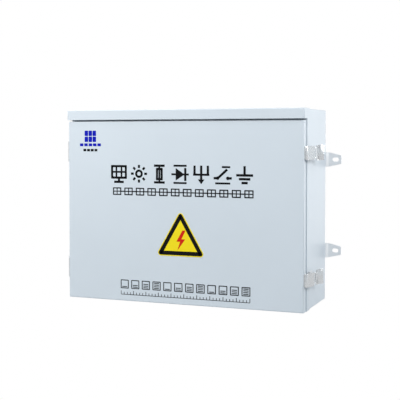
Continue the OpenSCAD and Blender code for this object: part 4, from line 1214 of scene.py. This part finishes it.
@dataclass
class Monitor:
    """String monitor with its display, lamps and terminals, and the sensor strip."""

    edge: float = 0.4
    shoulder: float = 27.5

    def build(self) -> None:
        """Dresses the monitor, and adds display, lamps and screws."""
        low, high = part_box("monitor_unit")
        x = (low.x + high.x) / 2
        z = (low.z + high.z) / 2
        plate_y = plate_front()

        def on_terminals(centre: Vector, _low: Vector, _high: Vector) -> bool:
            """Whether a face lies on a terminal block."""
            return abs(centre.z - z) > self.shoulder * MM and centre.y < plate_y - 40.2 * MM

        def on_strip(centre: Vector, _low: Vector, _high: Vector) -> bool:
            """Whether a face lies on the sensor strip and not on its board."""
            return centre.y < plate_y - 3.2 * MM

        dress_node("monitor_unit", LIGHT, self.edge, [Patch(TERMINAL_GREEN, on_terminals)])
        dress_node("current_sensor", BOARD, 0.25, [Patch(DARK, on_strip)])
        glass = Ink(0.9)
        glass.box((-14, 1), (39.4, 25.4), 1)
        make_piece("monitor_display", glass.bm, LCD, "root",
                   facing_front(x, plate_y - 57 * MM, z))
        bars = Ink(0.05)
        for i in range(6):
            tall = (12, 14, 11, 15, 13, 12)[i]
            bars.box((-29 + i * 6, -8.5 + tall / 2), (3.6, tall), 0.3)
        bars.bar((-31.5, -9.6), (3, -9.6), 0.8)
        make_piece("monitor_display_bars", bars.bm, INK_BLACK, "root",
                   facing_front(x, plate_y - 57.91 * MM, z))
        lamps = Ink(1.0)
        for i in range(3):
            lamps.disc((17, 9 - i * 9), 2.2)
        make_piece("monitor_lamps", lamps.bm, LENS_GREEN, "root",
                   facing_front(x, plate_y - 58 * MM, z))
        terminals = [Vector((x + (side + (i - 3.5) * 5) * MM, plate_y - 46 * MM,
                             z + row * 36 * MM))
                     for side in (-24, 24) for i in range(8) for row in (-1, 1)]
        ScrewField("monitor_terminal_screws", 1.35, ScrewDrive.SLOT).build(terminals)


@dataclass
class MountingPlate:
    """Rails, duct and earth bar on the mounting plate."""

    edge: float = 0.3

    def build(self) -> None:
        """Dresses the rails and the duct, and adds the earth bar's screws."""
        dress_node("din_rails", GALVANISED, 0.2)
        dress_node("wiring_duct", DUCT_GREY, self.edge, merge=False)
        low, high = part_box("earth_bar")
        count = 8
        start = low.x + 16 * MM
        spots = [Vector((start + i * 12 * MM, plate_front() - 16 * MM, (low.z + high.z) / 2))
                 for i in range(count)]
        ScrewField("earth_bar_screws", 2.35, ScrewDrive.SLOT, thickness=5.2).build(spots)


# ---------------------------------------------------------------- studio


@dataclass
class SoftBox:
    """One soft area light."""

    name: str
    place: Sequence[float]
    power: float
    size: float
    colour: Colour = (1.0, 1.0, 1.0)

    def build(self, target: Sequence[float]) -> None:
        """Hangs the light so that it points at a target."""
        lamp = bpy.data.lights.new(self.name, "AREA")
        lamp.energy = self.power
        lamp.size = self.size
        lamp.color = self.colour
        holder = bpy.data.objects.new(self.name, lamp)
        bpy.context.scene.collection.objects.link(holder)
        aim = Vector(target) - Vector(self.place)
        holder.rotation_euler = aim.to_track_quat("-Z", "Y").to_euler()
        holder.location = self.place


@dataclass
class Studio:
    """Pale floor, soft lights, surroundings and camera."""

    azimuth: float = 21.41
    pitch: float = -2.0
    eye: Sequence[float] = (0.891, -2.360, 0.177)
    lens: float = 81.9
    shift: float = -0.076
    floor_drop: float = 0.55
    floor_radius: float = 14.0
    floor_glow: float = 0.55
    target: Sequence[float] = (0.0, -0.15, 0.0)
    surround: float = 0.80
    tint: Colour = (0.93, 1.0, 1.05)
    bands: Sequence[Point] = ((0.0, 0.22), (0.44, 0.26), (0.485, 0.95), (0.53, 0.95),
                              (0.60, 0.55), (1.0, 0.85))

    def build(self) -> None:
        """Sets up the whole studio."""
        self._camera()
        self._floor()
        self._surroundings()
        for box in (SoftBox("key_left", (-1.25, -1.5, 1.30), 32, 1.1, (1.0, 0.985, 0.96)),
                    SoftBox("fill_right", (1.8, -0.80, 1.0), 16.5, 0.9),
                    SoftBox("rim_right", (1.45, 3.0, 0.3), 17, 1.8),
                    SoftBox("top", (0.2, -0.3, 1.9), 6, 1.4)):
            box.build(self.target)
        bpy.context.scene.view_settings.view_transform = "Standard"

    def _camera(self) -> None:
        """Adds the camera."""
        camera = bpy.data.cameras.new("camera")
        camera.lens = self.lens
        camera.sensor_width = 36
        camera.shift_y = self.shift
        holder = bpy.data.objects.new("camera", camera)
        bpy.context.scene.collection.objects.link(holder)
        holder.location = self.eye
        holder.rotation_euler = (math.radians(90 + self.pitch), 0, math.radians(self.azimuth))
        bpy.context.scene.camera = holder

    def _floor(self) -> None:
        """Adds a wide pale floor below the box."""
        bm = bmesh.new()
        bmesh.ops.create_circle(bm, cap_ends=True, segments=96, radius=self.floor_radius)
        level = CAD_BOX[0][2] - self.floor_drop
        bmesh.ops.translate(bm, verts=bm.verts, vec=(0, 0, level))
        mesh = bpy.data.meshes.new("floor")
        bm.to_mesh(mesh)
        bm.free()
        recipe = Recipe("studio_floor")
        cloud = recipe.noise(0.8, 2)
        recipe.set(Base_Color=recipe.blend(cloud, shade(FLOOR.colour), shade(FLOOR.colour, 0.96)),
                   Roughness=FLOOR.roughness)
        glow = recipe.signal("ShaderNodeEmission", {}, {"Color": (1, 1, 1, 1)}, 0)
        ray = recipe.node("ShaderNodeLightPath", {}, {})
        seen = (Signal(recipe, ray.outputs["Is Camera Ray"])
                + Signal(recipe, ray.outputs["Is Glossy Ray"]) * self.floor_glow)
        matt = Signal(recipe, recipe.shader.outputs[0])
        mixed = recipe.signal("ShaderNodeMixShader", {}, {0: seen, 1: matt, 2: glow}, 0)
        recipe.feed(recipe.tree.nodes["Material Output"].inputs["Surface"], mixed)
        mesh.materials.append(recipe.material)
        floor = bpy.data.objects.new("floor", mesh)
        bpy.context.scene.collection.objects.link(floor)

    def _surroundings(self) -> None:
        """Adds the white studio: plain to the camera, and banded in reflections."""
        world = bpy.data.worlds.new("studio")
        bpy.context.scene.world = world
        world.use_nodes = True
        world.node_tree.nodes.clear()
        tree = Tree(world.node_tree)
        spot = tree.signal("ShaderNodeTexCoord", {}, {}, "Generated")
        level = tree.signal("ShaderNodeSeparateXYZ", {}, {0: spot}, "Z")
        height = tree.signal("ShaderNodeMapRange", {}, {"Value": level, "From Min": -1.0}, 0)
        stops = [(place, shade(self.tint, grey)) for place, grey in self.bands]
        banded = tree.signal("ShaderNodeValToRGB", {"stops": stops}, {0: height}, "Color")
        around = tree.signal("ShaderNodeBackground", {},
                             {"Color": banded, "Strength": self.surround}, 0)
        plain = tree.signal("ShaderNodeBackground", {}, {"Color": (1, 1, 1, 1)}, 0)
        seen = tree.signal("ShaderNodeLightPath", {}, {}, "Is Camera Ray")
        mixed = tree.signal("ShaderNodeMixShader", {}, {0: seen, 1: around, 2: plain}, 0)
        tree.node("ShaderNodeOutputWorld", {}, {"Surface": mixed})


def main() -> None:
    """Builds the studio and every sub-assembly in order."""
    logging.basicConfig(level=logging.INFO, format="%(name)s: %(message)s")
    for part in (Studio(), Enclosure(), DoorGraphics(), Hardware(), CableEntry(), MountingPlate(),
                 FuseBank(), Busbars(), Breaker(), SurgeArrester(), Monitor()):
        part.build()


if __name__ == "__main__":
    main()
